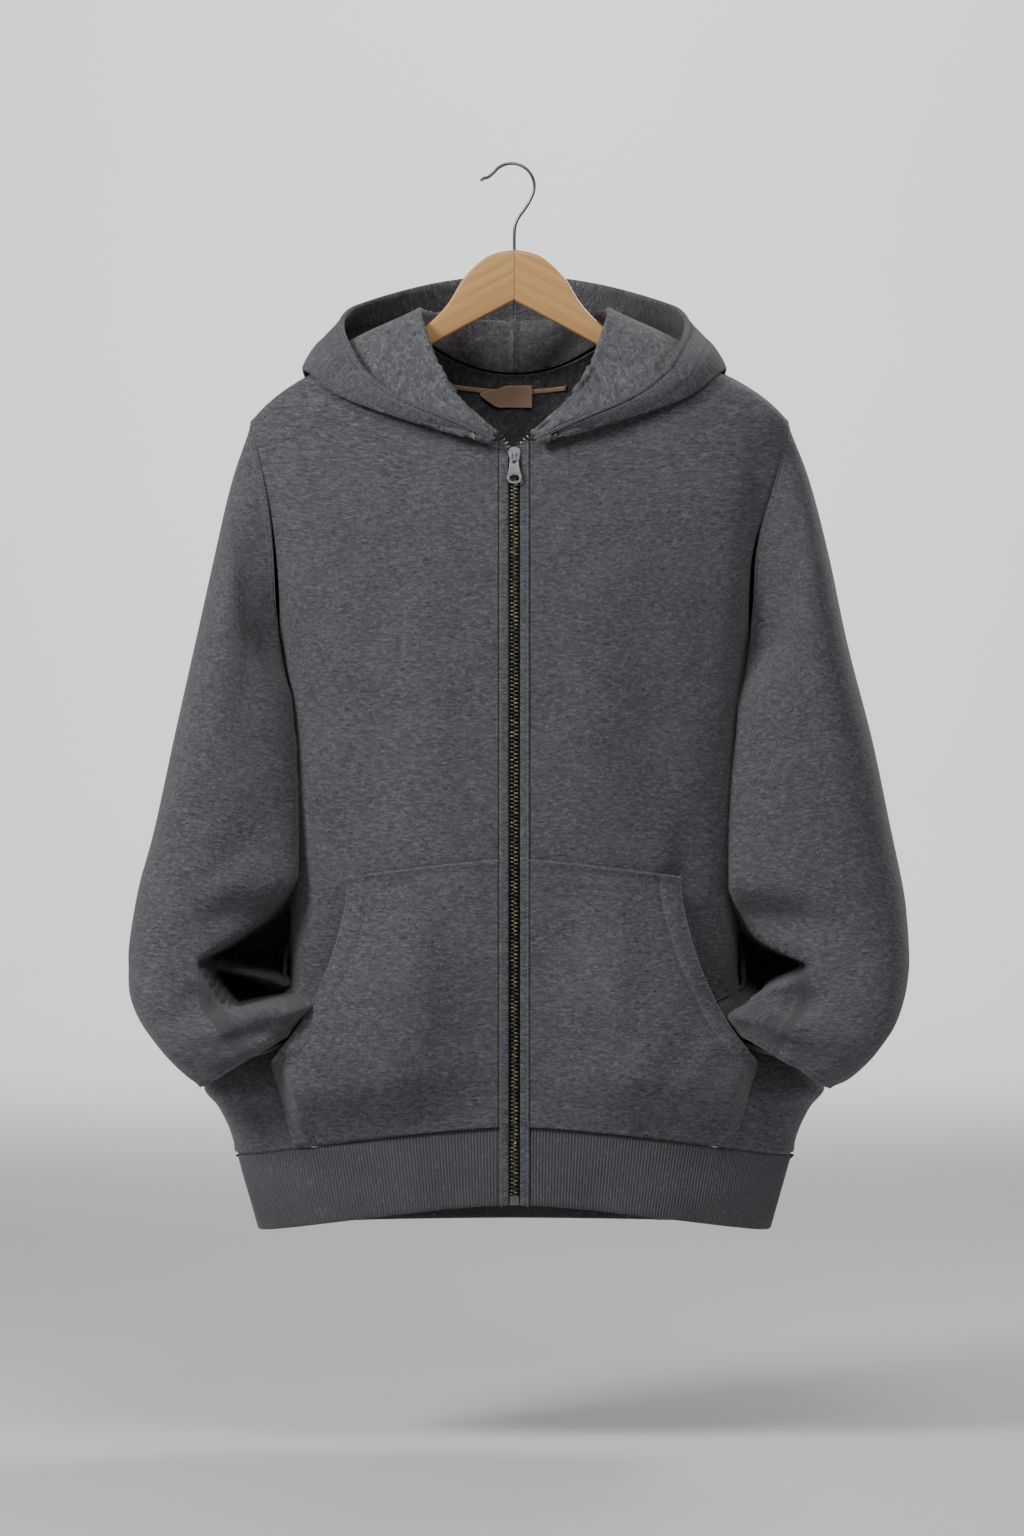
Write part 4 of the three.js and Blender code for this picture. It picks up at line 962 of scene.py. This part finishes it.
# place round the neck (0 at the zip, 1 at the shoulder, 2 at the centre back), ridge,
# bottom fold, rim, and how far the outer layer swells
HOOD = np.array([
    (0, 15, -78, -235, 19.5, -80.5, -243, 15.5, -86.5, -240.5, 1),
    (0.3, 33.4, -75, -219, 64, -78, -231, 44, -86, -227, 2),
    (0.55, 54.3, -63, -196, 112, -69, -217, 92, -78, -206, 4),
    (0.78, 69.4, -42, -167, 151, -53, -200, 124.3, -62, -182.5, 6),
    (0.92, 78.7, -18, -138.5, 175, -20, -180, 138.5, -36, -160, 7),
    (1, 82, 5, -123.6, 181, 12, -177, 146.4, 2, -138, 7),
    (1.2, 77, 25, -123, 172, 52, -196, 143, 34, -121.5, 10),
    (1.45, 61, 46, -123.5, 140, 86, -244, 122, 72, -108.5, 20),
    (1.7, 36, 63, -125.5, 82, 97, -304, 77, 101, -93.5, 30),
    (1.88, 14, 69.5, -127, 32, 101, -330, 32, 116.5, -85, 35),
    (2, 0, 71, -127, 0, 102, -335, 0, 120, -82.7, 36)], float)


HOOD_START, HOOD_SWELL, HOOD_PATTERN_START = 1.5, 1.0, 1100
HOOD_RIM_TURNING, HOOD_RIM_ROLL = 0.9, 1.0


def unit(vector):
    return vector / max(np.linalg.norm(vector), 1e-9)


def hood_profile(station):
    """The hood's cloth at one place round the neck, from the neck seam to the rim."""
    t = min(station[0], 2)
    if t <= 1:
        neck = torso_point("front", *front_neckline((1 - t) * math.pi / 2))
    else:
        x = NECK_HALF * math.cos((t - 1) * math.pi / 2)
        neck = torso_point("back", x, back_neckline_z(x))
    ridge, fold, rim, puff = station[1:4], station[4:7], station[7:10], station[10]

    def off_body(point):
        return unit(np.array([point[0] * 0.4, point[1], 60]))

    start = neck + HOOD_START * unit(ridge - neck)
    out = unit((fold - ridge) * (1, 1, 0))
    down, rise = unit(fold - ridge), unit(rim - fold)
    bend = min(2.6, np.linalg.norm(ridge - fold) * 0.2, np.linalg.norm(fold - rim) * 0.3)
    falling = mix(ridge, fold, 0.5)
    rising = mix(fold, rim, 0.5)
    rising = rising + off_body(rising) * puff
    return np.array([
        start, mix(start, ridge, 0.55), ridge - out * bend * 0.6 - (0, 0, bend), ridge,
        ridge + down * bend * 1.4, falling + off_body(falling) * min(4, bend * 1.5),
        fold - down * bend * 1.4 + off_body(fold) * bend * 0.4, fold,
        fold + out * bend + rise * bend, mix(fold, rising, 0.5) + out * puff * 0.4, rising, rim])


hood_stations = through(range(len(HOOD)), HOOD)
hood_places = np.concatenate([[0, 0.04, 0.1], np.linspace(0.17, 9.9, 128), [9.96, 10]])
hood_share = np.concatenate([[0, 0.004, 0.012], np.linspace(0.022, 0.985, 120), [0.991, 0.996, 1]])
hood_points = []
for place in hood_places:
    profile = hood_profile(hood_stations(place))
    spans = np.maximum(np.linalg.norm(np.diff(profile, axis=0), axis=1), 0.4)
    chords = np.concatenate([[0], np.cumsum(spans)]) / spans.sum()
    # the columns lie mostly even along the cloth, and partly as its profile's points do
    steady = np.interp(hood_share, np.linspace(0, 1, len(profile)), chords)
    hood_points.append(through(chords, profile)(mix(hood_share, steady, 0.35)))
hood_points = np.array(hood_points)

HOOD_CREASES = [
    ([(60, -150), (95, -190), (130, -205)], 10, -2.6, -1),
    ([(70, -130), (110, -160), (140, -172)], 9, 2.2, -1),
    ([(30, -200), (60, -225), (100, -224)], 7, 1.6, -1),
    ([(120, -250), (80, -270), (30, -290)], 14, 3.0, 1),
    ([(130, -220), (90, -236), (40, -240)], 13, -3.4, 1),
    ([(110, -180), (80, -190), (30, -192)], 15, 2.6, 1),
    ([(70, -140), (50, -200), (30, -280)], 12, -2.0, 1),
]
for side, sign in SIDES:
    points = hood_points * (sign, 1, 1)
    points[-1, :, 0] = 0
    hood = Cloth(points, -sign)
    hood.push(np.full(points.shape[:2], HOOD_SWELL))
    hood.cut_from(sign, HOOD_PATTERN_START)
    for path, width, height, facing in HOOD_CREASES:
        hood.crease([(sign * x, z) for x, z in path], width, height, facing)
    # the rim's rolled edge stands proud between dips, and the centre seam is sunk
    away, to_centre = hood.to_edge("end"), hood.to_edge("bottom")
    hood.push(0.9 * smooth((5 - away) / 1.5) - 0.7 * np.exp(-((away - 6.5) / 1.2) ** 2)
              - 0.7 * np.exp(-((away - 24) / 1.5) ** 2))
    hood.push(-0.9 * np.exp(-(to_centre / 2) ** 2) + 0.4 * np.exp(-((to_centre - 5) / 2.5) ** 2))
    thick = (CLOTH + HOOD_RIM_TURNING * smooth((25 - away) / 3)
             + HOOD_RIM_ROLL * smooth((5.5 - away) / 1.5))
    stitch_lines["hood"] += [
        hood.line("end", 3.6), hood.line("end", 8.4), hood.line("end", 24.0, 0.02, 0.99)]
    piece = hood.build(f"hood_{side}_panel", thick, [fleece, brushed], free=("start", "top", "end"))
    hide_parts(f"hood_{side}")


# -------------------------------------------------------------------------- zip's strips
# A folded strip of fleece along each side of the zip, stitched down near its outer edge,
# over the woven tape that carries the teeth.

ZIP_ROWS = np.array([
    -242, -268, -305, -350, -415, -480, -545, -591, -598, -650, -690, -725, -755, -780, -802,
    -818, -824, -855, -887.5])
GUARD_WALL, GUARD_PROUD, GUARD_WIDTH, GUARD_PATTERN_START = 1.9, 0.8, 8.2, 900
# over the pocket the strips stand further out
GUARD_STEP, GUARD_STEP_TOP, GUARD_STEP_BOTTOM = 2.2, -591, -824
TAPE_WALL, TAPE_PROUD = 0.8, -2.4


def zip_depth(z):
    """How far the closed front edges stand off the middle plane."""
    return np.interp(-z, -ZIP_ROWS, torso_depth["front"](ZIP_ROWS))


def strip_grid(across, heights, proud):
    """Points of a narrow strip down the zip, that stands proud of the fronts' edges."""
    x, z = np.meshgrid(np.asarray(across, float), heights)
    return np.stack([x, -zip_depth(z) - proud(z), z], -1)


def guard_proud(z):
    stepped = smooth((GUARD_STEP_TOP - z) / 7) * smooth((z - GUARD_STEP_BOTTOM) / 6)
    return GUARD_PROUD + GUARD_STEP * stepped


tape = Finish("woven tape", Roughness=0.85, Specular_IOR_Level=0.25)
weave = (tape.noise(tape.place((1400, 500, 0)), 1.0, 1.0) - 0.5) * 0.6 + 0.5
tape.set("Base Color", tape.blend(weave.step(0.2, 0.8), (0.012, 0.012, 0.014), (0.035, 0.035, 0.038)))
tape.relief(weave, 0.0003)

guard_across = np.array([4.8, 5.1, 5.6, 6.4, 7.4, 8.4, 9.4, 10.4, 11.4, 12.2, 12.7, 13.0])
guard_heights = np.concatenate([
    [-242, -242.4, -243.2, -245], np.arange(-248, -884, -3.0), [-885, -886.6, -887.2, -887.5]])
tape_across = np.array([1.6, 2.4, 4.0, 7.0, 11.0, 15.0])
tape_heights = np.concatenate([np.arange(-242, -884, -4.0), [-885]])
for side, sign in SIDES:
    guard = Cloth(strip_grid(sign * guard_across, guard_heights, guard_proud), -sign)
    guard.level_rows()
    guard.cut_from(sign, GUARD_PATTERN_START)
    ripple = np.sin(guard.down / 23 + sign) * np.sin(guard.down / 9.7)
    guard.push(0.35 * np.sin(guard.across / GUARD_WIDTH * math.pi) + 0.15 * ripple)
    stitch_lines["guard"].append(guard.line("end", 1.9))
    piece = guard.build(f"zip_guard_{side}_strip", GUARD_WALL, [fleece])
    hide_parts(f"zip_guard_{side}")

    woven = Cloth(strip_grid(sign * tape_across, tape_heights, lambda z: TAPE_PROUD), -sign)
    piece = woven.build(f"zip_tape_{side}_woven", TAPE_WALL, [tape])
    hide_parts(f"zip_tape_{side}")


# --------------------------------------------------------------------------- zip's metal
# Antiqued brass teeth clamped on the tapes' edges, a steel slider with a pull tab that
# swings on its bridge, and the steel box at the bottom. Above the slider the teeth part.

brass = Finish("antiqued brass", Metallic=1.0)
patina = brass.noise(brass.place((260, 260, 260), "object"), 1.0, 3.0)
brass.set("Base Color", brass.blend(patina.step(0.35, 0.7), (0.055, 0.050, 0.031), (0.28, 0.25, 0.155)))
brass.set("Roughness", patina * 0.25 + 0.28)

steel = Finish("polished steel", Metallic=1.0)
scuffs = steel.noise(steel.place((90, 90, 420), "object"), 1.0, 4.0)
steel.set("Base Color", steel.blend(scuffs, (0.13, 0.13, 0.135), (0.26, 0.26, 0.27)))
steel.set("Roughness", scuffs * 0.24 + 0.2)
steel.relief(scuffs, 0.00006)


def geometry_tree(name, inputs):
    """A Geometry Nodes tree with a geometry in and out, and named sizes."""
    tree = bpy.data.node_groups.new(name, "GeometryNodeTree")
    tree.interface.new_socket("Geometry", in_out="INPUT", socket_type="NodeSocketGeometry")
    tree.interface.new_socket("Geometry", in_out="OUTPUT", socket_type="NodeSocketGeometry")
    for label, (kind, value) in inputs.items():
        socket = tree.interface.new_socket(label, in_out="INPUT", socket_type=f"NodeSocket{kind}")
        socket.default_value = value
    return Maker(tree)


def along_lines(name, lines, shape, pitch, seed, finish):
    """Copies of a small shape at a pitch along lines, standing square to the surface.
    The shape's X follows the line and its Z points off the cloth."""
    maker = geometry_tree(name, {
        "Pitch": ("Float", pitch / 1000), "Wander": ("Float", 0.05), "Seed": ("Int", seed)})
    start = maker.node("NodeGroupInput")
    curve = maker.node("GeometryNodeMeshToCurve", {}, {"Mesh": start})
    points = maker.node("GeometryNodeResampleCurve", {"mode": "LENGTH"},
                        {"Curve": curve, "Length": start.out("Pitch")})
    tangent = maker.node("GeometryNodeInputTangent")
    normal = maker.node("GeometryNodeInputNamedAttribute", {"data_type": "FLOAT_VECTOR"},
                        {"Name": "off_cloth"})
    upright = maker.node("FunctionNodeAlignRotationToVector", {"axis": "Z"}, {"Vector": normal})
    turned = maker.node("FunctionNodeAlignRotationToVector", {"axis": "X", "pivot_axis": "Z"},
                        {"Rotation": upright, "Vector": tangent})
    wander = maker.node("FunctionNodeRandomValue", {"data_type": "FLOAT"}, {"Seed": start.out("Seed")})
    scale = wander * start.out("Wander") + 0.97
    stamp = maker.node("GeometryNodeObjectInfo", {}, {"Object": shape})
    copies = maker.node("GeometryNodeInstanceOnPoints", {}, {
        "Points": points, "Instance": stamp.out("Geometry"), "Rotation": turned, "Scale": scale})
    real = maker.node("GeometryNodeRealizeInstances", {}, {"Geometry": copies})
    finished = maker.node("GeometryNodeSetMaterial", {},
                          {"Geometry": real, "Material": finish.material})
    maker.node("NodeGroupOutput", {}, {"Geometry": finished})

    mesh = bpy.data.meshes.new(name)
    points_in, edges, normals = [], [], []
    for line, off in lines:
        first = len(points_in)
        points_in += (line / 1000).tolist()
        normals += off.tolist()
        edges += [(k, k + 1) for k in range(first, len(points_in) - 1)]
    mesh.from_pydata(points_in, edges, [])
    attribute = mesh.attributes.new("off_cloth", "FLOAT_VECTOR", "POINT")
    attribute.data.foreach_set("vector", np.array(normals, float).ravel())
    carrier = add_object(f"{name}_lines", mesh)
    modifier = carrier.modifiers.new("copies", "NODES")
    modifier.node_group = maker.tree
    ready = carrier.evaluated_get(bpy.context.evaluated_depsgraph_get())
    result = bpy.data.meshes.new_from_object(ready)
    bpy.data.objects.remove(carrier)
    result.name = name
    result.polygons.foreach_set("use_smooth", np.ones(len(result.polygons), bool))
    piece = add_object(name, result)
    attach(piece, "garment")
    return piece


def closed_tube(name, rings):
    """A mesh through rings of equally many points, closed at both ends."""
    rings = np.asarray(rings, float)
    count, sides = rings.shape[:2]
    faces = [(r * sides + c, r * sides + (c + 1) % sides,
              (r + 1) * sides + (c + 1) % sides, (r + 1) * sides + c)
             for r in range(count - 1) for c in range(sides)]
    faces += [tuple(range(sides - 1, -1, -1)), tuple(range((count - 1) * sides, count * sides))]
    mesh = bpy.data.meshes.new(name)
    mesh.from_pydata((rings.reshape(-1, 3) / 1000).tolist(), [], faces)
    return mesh


def rounded_block(name, length, width, height, inset):
    """A block with chamfered edges, to be copied along a line."""
    top = height / 2
    levels = [(-top, inset), (inset - top, 0), (top - inset, 0), (top, inset)]
    outline = [(-1, -1), (1, -1), (1, 0), (1, 1), (-1, 1), (-1, 0)]
    rings = [[(x * (length / 2 - pull), y * (width / 2 - pull), z) for x, y in outline]
             for z, pull in levels]
    return bpy.data.objects.new(name, closed_tube(name, rings))


TOOTH_PITCH, TOOTH_X, TOOTH_PROUD, TOOTH_SEED = 3.3, 1.55, -0.6, 3
TOOTH_LENGTH, TOOTH_WIDTH, TOOTH_HEIGHT, TOOTH_CHAMFER = 1.55, 3.3, 2.5, 0.3
chain_heights = np.arange(-268.0, -879.0, -1.0)
# the parted teeth above the slider turn outwards and tip up a little
PARTED = [(11.6, -238.6), (9.4, -240.4), (7.2, -242.6), (5.4, -245.2), (3.6, -248.4), (2.9, -250.2)]
PARTED_SINK, PARTED_TIP = 0.4, 0.22
for side, sign in SIDES:
    heights = chain_heights - (TOOTH_PITCH / 2 if sign > 0 else 0)
    closed = strip_grid([sign * TOOTH_X], heights, lambda z: TOOTH_PROUD)[:, 0]
    parted = np.array([(sign * x, -zip_depth(z) - PARTED_SINK, z) for x, z in PARTED])
    lines = [(closed, np.tile((0, -1, 0), (len(closed), 1))),
             (parted, np.tile((0, -1, PARTED_TIP), (len(parted), 1)))]
    tooth = rounded_block(
        f"tooth_{side}", TOOTH_LENGTH, TOOTH_WIDTH, TOOTH_HEIGHT, TOOTH_CHAMFER)
    piece = along_lines(f"zip_teeth_{side}", lines, tooth, TOOTH_PITCH, TOOTH_SEED, brass)
    if side == "left":
        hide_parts("zip_chain")


def softened(node, name, width, body):
    """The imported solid's own shape with its sharp edges rounded."""
    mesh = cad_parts[node].data.copy()
    mesh.materials.clear()
    work = bmesh.new()
    work.from_mesh(mesh)
    bmesh.ops.remove_doubles(work, verts=work.verts, dist=1e-5)
    bmesh.ops.dissolve_limit(work, angle_limit=math.radians(3), verts=work.verts, edges=work.edges)
    work.to_mesh(mesh)
    work.free()
    piece = add_object(name, mesh, steel)
    bevel = piece.modifiers.new("soft edges", "BEVEL")
    bevel.width, bevel.segments = width / 1000, 3
    bevel.limit_method, bevel.angle_limit = "ANGLE", math.radians(40)
    for polygon in mesh.polygons:
        polygon.use_smooth = False
    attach(piece, body)
    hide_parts(node)
    return piece


softened("zip_slider", "slider_body", 0.3, "garment")
softened("zip_pull", "pull_tab", 0.28, "pull")
softened("zip_box", "zip_end_box", 0.4, "garment")


# --------------------------------------------------------------- neck label and loop
# A blank woven cotton label folded over the middle of a thin cotton loop, both tacked
# inside the back neck.

cotton = Finish("beige cotton", Roughness=0.8, Sheen_Weight=0.1, Specular_IOR_Level=0.3)
threads = cotton.node("ShaderNodeTexWave", {"wave_type": "BANDS", "bands_direction": "Y"},
                      {"Vector": cotton.place((1, 1, 0)), "Scale": 420.0, "Distortion": 1.0})
faded = cotton.noise(cotton.place((60, 60, 0)), 1.0, 3.0)
cotton.set("Base Color", cotton.blend(
    threads * 0.35 + faded * 0.65, (0.50, 0.30, 0.19), (0.72, 0.50, 0.35)))
cotton.relief(threads, 0.0002)


def inside_back(x, z, gap):
    """Points a gap away from the back's inner face."""
    return np.stack([x + 0 * z, torso_y("back", x, z) - CLOTH - gap, z + 0 * x], -1)


LOOP_WALL, LABEL_GAP, LABEL_WALL = 0.6, 2.1, 0.8
loop_x = np.linspace(-53, 45, 60)
loop_z = -191 + 4 * (loop_x / 50) ** 2
loop_gap = 1 + 0.9 * (loop_x / 50) ** 2
loop = Cloth(np.stack([inside_back(loop_x, loop_z + half, loop_gap)
                       for half in (2, 1.4, 0.6, -0.6, -1.4, -2)]), -1)
loop_piece = loop.build("hanging_loop_tape", LOOP_WALL, [cotton])
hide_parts("hanging_loop")

LABEL_PLACES = [-30, -15, -7, 5, 15.6]
label_x = np.linspace(LABEL_PLACES[0], LABEL_PLACES[-1], 60)
label_top = through(LABEL_PLACES, [-192, -188.5, -186, -185.7, -185.5])(label_x)
label_bottom = through(LABEL_PLACES, [-194, -204, -204.5, -204.5, -204.5])(label_x)
label_low = np.array([0, 0.02, 0.06, 0.15, 0.3, 0.45, 0.6, 0.75, 0.9, 0.95, 0.98, 1])[:, None]
label = Cloth(inside_back(label_x, mix(label_top, label_bottom, label_low), LABEL_GAP), -1)
label.push(0.5 * np.sin(label.across / 6.5) * smooth(label.to_edge("top") / 6))
label_piece = label.build("neck_label_blank", LABEL_WALL, [cotton])
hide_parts("neck_label")


# ---------------------------------------------------------------------------- the hanger
# Two arms of varnished pale hardwood, mitred at the middle, their grain running out
# along the arms, and a hook of bright wire screwed in at the crown.

wood = Finish("varnished wood", Coat_Weight=0.35, Coat_Roughness=0.18)
grain = wood.noise(wood.place((9, 330, 0)), 1.0, 5.0, 0.6, 0.6)
growth = wood.node("ShaderNodeTexWave", {"wave_type": "BANDS", "bands_direction": "Y"}, {
    "Vector": wood.place((0.6, 1, 0)), "Scale": 26.0, "Distortion": 3.5, "Detail": 2.0,
    "Detail Scale": 1.2})
pores = wood.noise(wood.place((90, 1400, 0)), 1.0, 2.0)
figure = grain * 0.68 + growth * 0.1 + pores * 0.22
wood.set("Base Color", wood.blend(figure.step(0.2, 0.8), (0.44, 0.225, 0.075), (0.60, 0.345, 0.135)))
wood.set("Roughness", grain * 0.2 + 0.3)
wood.relief(pores * 0.5 + grain * 0.5, 0.00012)

# how far below the shoulder seam the arm's top lies, square to it
CLOTH_GAP = 3.3
ARM_END_X, ARM_HALF, ARM_EDGE, ARM_SIDES = 204, 6, 3.2, 36


def under_shoulder(x):
    slope = (shoulder_z(x + 1) - shoulder_z(x - 1)) / 2
    return shoulder_z(x) - CLOTH_GAP * np.hypot(1, slope)


def smooth_tube(name, rings):
    """A closed tube shaded smooth, with flat ends."""
    mesh = closed_tube(name, rings)
    work = bmesh.new()
    work.from_mesh(mesh)
    bmesh.ops.recalc_face_normals(work, faces=work.faces)
    work.to_mesh(mesh)
    work.free()
    for polygon in mesh.polygons:
        polygon.use_smooth = len(polygon.vertices) == 4
    return mesh


arm_x = np.array([112, 132, 152, 172, 188, 197.0])
end_z = under_shoulder(ARM_END_X)
arm_top = through(
    [0, 14, 27, 44, 55.5, 67, 77, 85, 94, *arm_x, ARM_END_X],
    [-73, -75.5, -81.5, -98, -117, -130.5, -139.5, -148, -150.2, *under_shoulder(arm_x), end_z - 7])
arm_bottom = through(
    [0, 40, 72, 100, 130, 186, 196, ARM_END_X],
    [-117, -138, -155.5, -170, -185, -213.5, -217, end_z - 12])
arm_places = np.concatenate([
    [0.15, 0.5], np.linspace(2, 196, 98), [198, 200, 201.5, 202.7, 203.5, ARM_END_X]])
turns = np.linspace(0, 1, ARM_SIDES + 1)[:-1] * 2 * math.pi


def arm_ring(sign, x):
    """The arm's section at x: a rounded bar, that closes in over the last few mm."""
    top, bottom = arm_top(x), arm_bottom(x)
    closing = math.sqrt(max(1 - max((x - 197) / 7.2, 0) ** 2, 0.02))
    halves = ARM_HALF * closing, (top - bottom) / 2 * closing
    y, z = (np.sign(wave) * max(half - ARM_EDGE, 0) + wave * min(ARM_EDGE, half)
            for wave, half in zip((np.cos(turns), np.sin(turns)), halves))
    return np.stack([0 * turns + sign * x, y, (top + bottom) / 2 + z], -1)


for side, sign in SIDES:
    arm = np.array([arm_ring(sign, x) for x in arm_places])
    mesh = smooth_tube(f"arm_{side}", arm)
    # the grain runs along the arm's slope, and each arm is cut from its own wood
    x, y, z = np.abs(arm[..., 0]).ravel(), arm[..., 1].ravel(), arm[..., 2].ravel()
    lay_map(mesh, np.stack([x * 1.13, z + 0.52 * x + y * 0.6 + 40 * sign], -1))
    piece = add_object(f"hanger_{side}_wood", mesh, wood)
    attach(piece, "garment")
    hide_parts(f"hanger_arm_{side}")

HOOK_RADIUS, HOOK_X, HOOK_Z = 19.4, -2.2, -18
WIRE, WIRE_SIDES = 1.4, 16
hook_points = [(-29.4, -13.6), (-26.5, -11.5), (-23, -10.6)]
for degrees in range(145, -21, -15):
    turn = math.radians(degrees)
    hook_points.append((
        HOOK_X + HOOK_RADIUS * math.cos(turn), HOOK_Z + HOOK_RADIUS * math.sin(turn)))
hook_points += [
    (12.6, -32), (7.9, -39.4), (3.8, -45), (0.9, -51.5), (0, -60), (0, -75), (0, -90), (0, -104)]
hook_points = np.array(hook_points, float)
hook_run = lengths(hook_points, 0)
hook_places = np.linspace(0, hook_run[-1], 150)
centre = through(hook_run, hook_points)(hook_places)
heading = np.gradient(centre, axis=0)
heading /= np.linalg.norm(heading, axis=1, keepdims=True)
around = np.linspace(0, 1, WIRE_SIDES + 1)[:-1] * 2 * math.pi
# the wire's tip is rounded
radius = WIRE * np.sqrt(np.clip(1 - np.clip(1 - hook_places / WIRE, 0, 1) ** 2, 0.03, 1))[:, None]
wire = np.stack([
    centre[:, :1] - heading[:, 1:] * np.cos(around) * radius, np.sin(around) * radius,
    centre[:, 1:] + heading[:, :1] * np.cos(around) * radius], -1)
hook = add_object("hook_wire", smooth_tube("hook", wire), steel)
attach(hook, "garment")
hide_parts("hanger_hook")


# --------------------------------------------------------------------------- stitching
# Lockstitch in charcoal thread, eight or so to the inch, along every turned edge and
# both sides of the set-in sleeves.

thread = Finish("charcoal thread", Roughness=0.7, Specular_IOR_Level=0.4)
twist = thread.noise(thread.place((900, 900, 900), "object"), 1.0, 1.0)
thread.set("Base Color", thread.blend(twist, (0.07, 0.07, 0.075), (0.24, 0.24, 0.25)))

STITCH_PITCH, FIRST_STITCH_SEED = 3.0, 11
# along the stitch, its thread's radius, and how far that end dips into the cloth
STITCH = [(-1.25, 0.10, 0.3), (-0.75, 0.29, 0), (0.75, 0.29, 0), (1.25, 0.10, 0.3)]
stitch_rings = [
    [(x, r * math.cos(turn), r * math.sin(turn) - dip)
     for turn in (k * math.pi / 3 for k in range(6))] for x, r, dip in STITCH]
stitch = bpy.data.objects.new("stitch", closed_tube("stitch", stitch_rings))
for seed, (kind, lines) in enumerate(sorted(stitch_lines.items()), FIRST_STITCH_SEED):
    piece = along_lines(f"stitches_{kind}", lines, stitch, STITCH_PITCH, seed, thread)
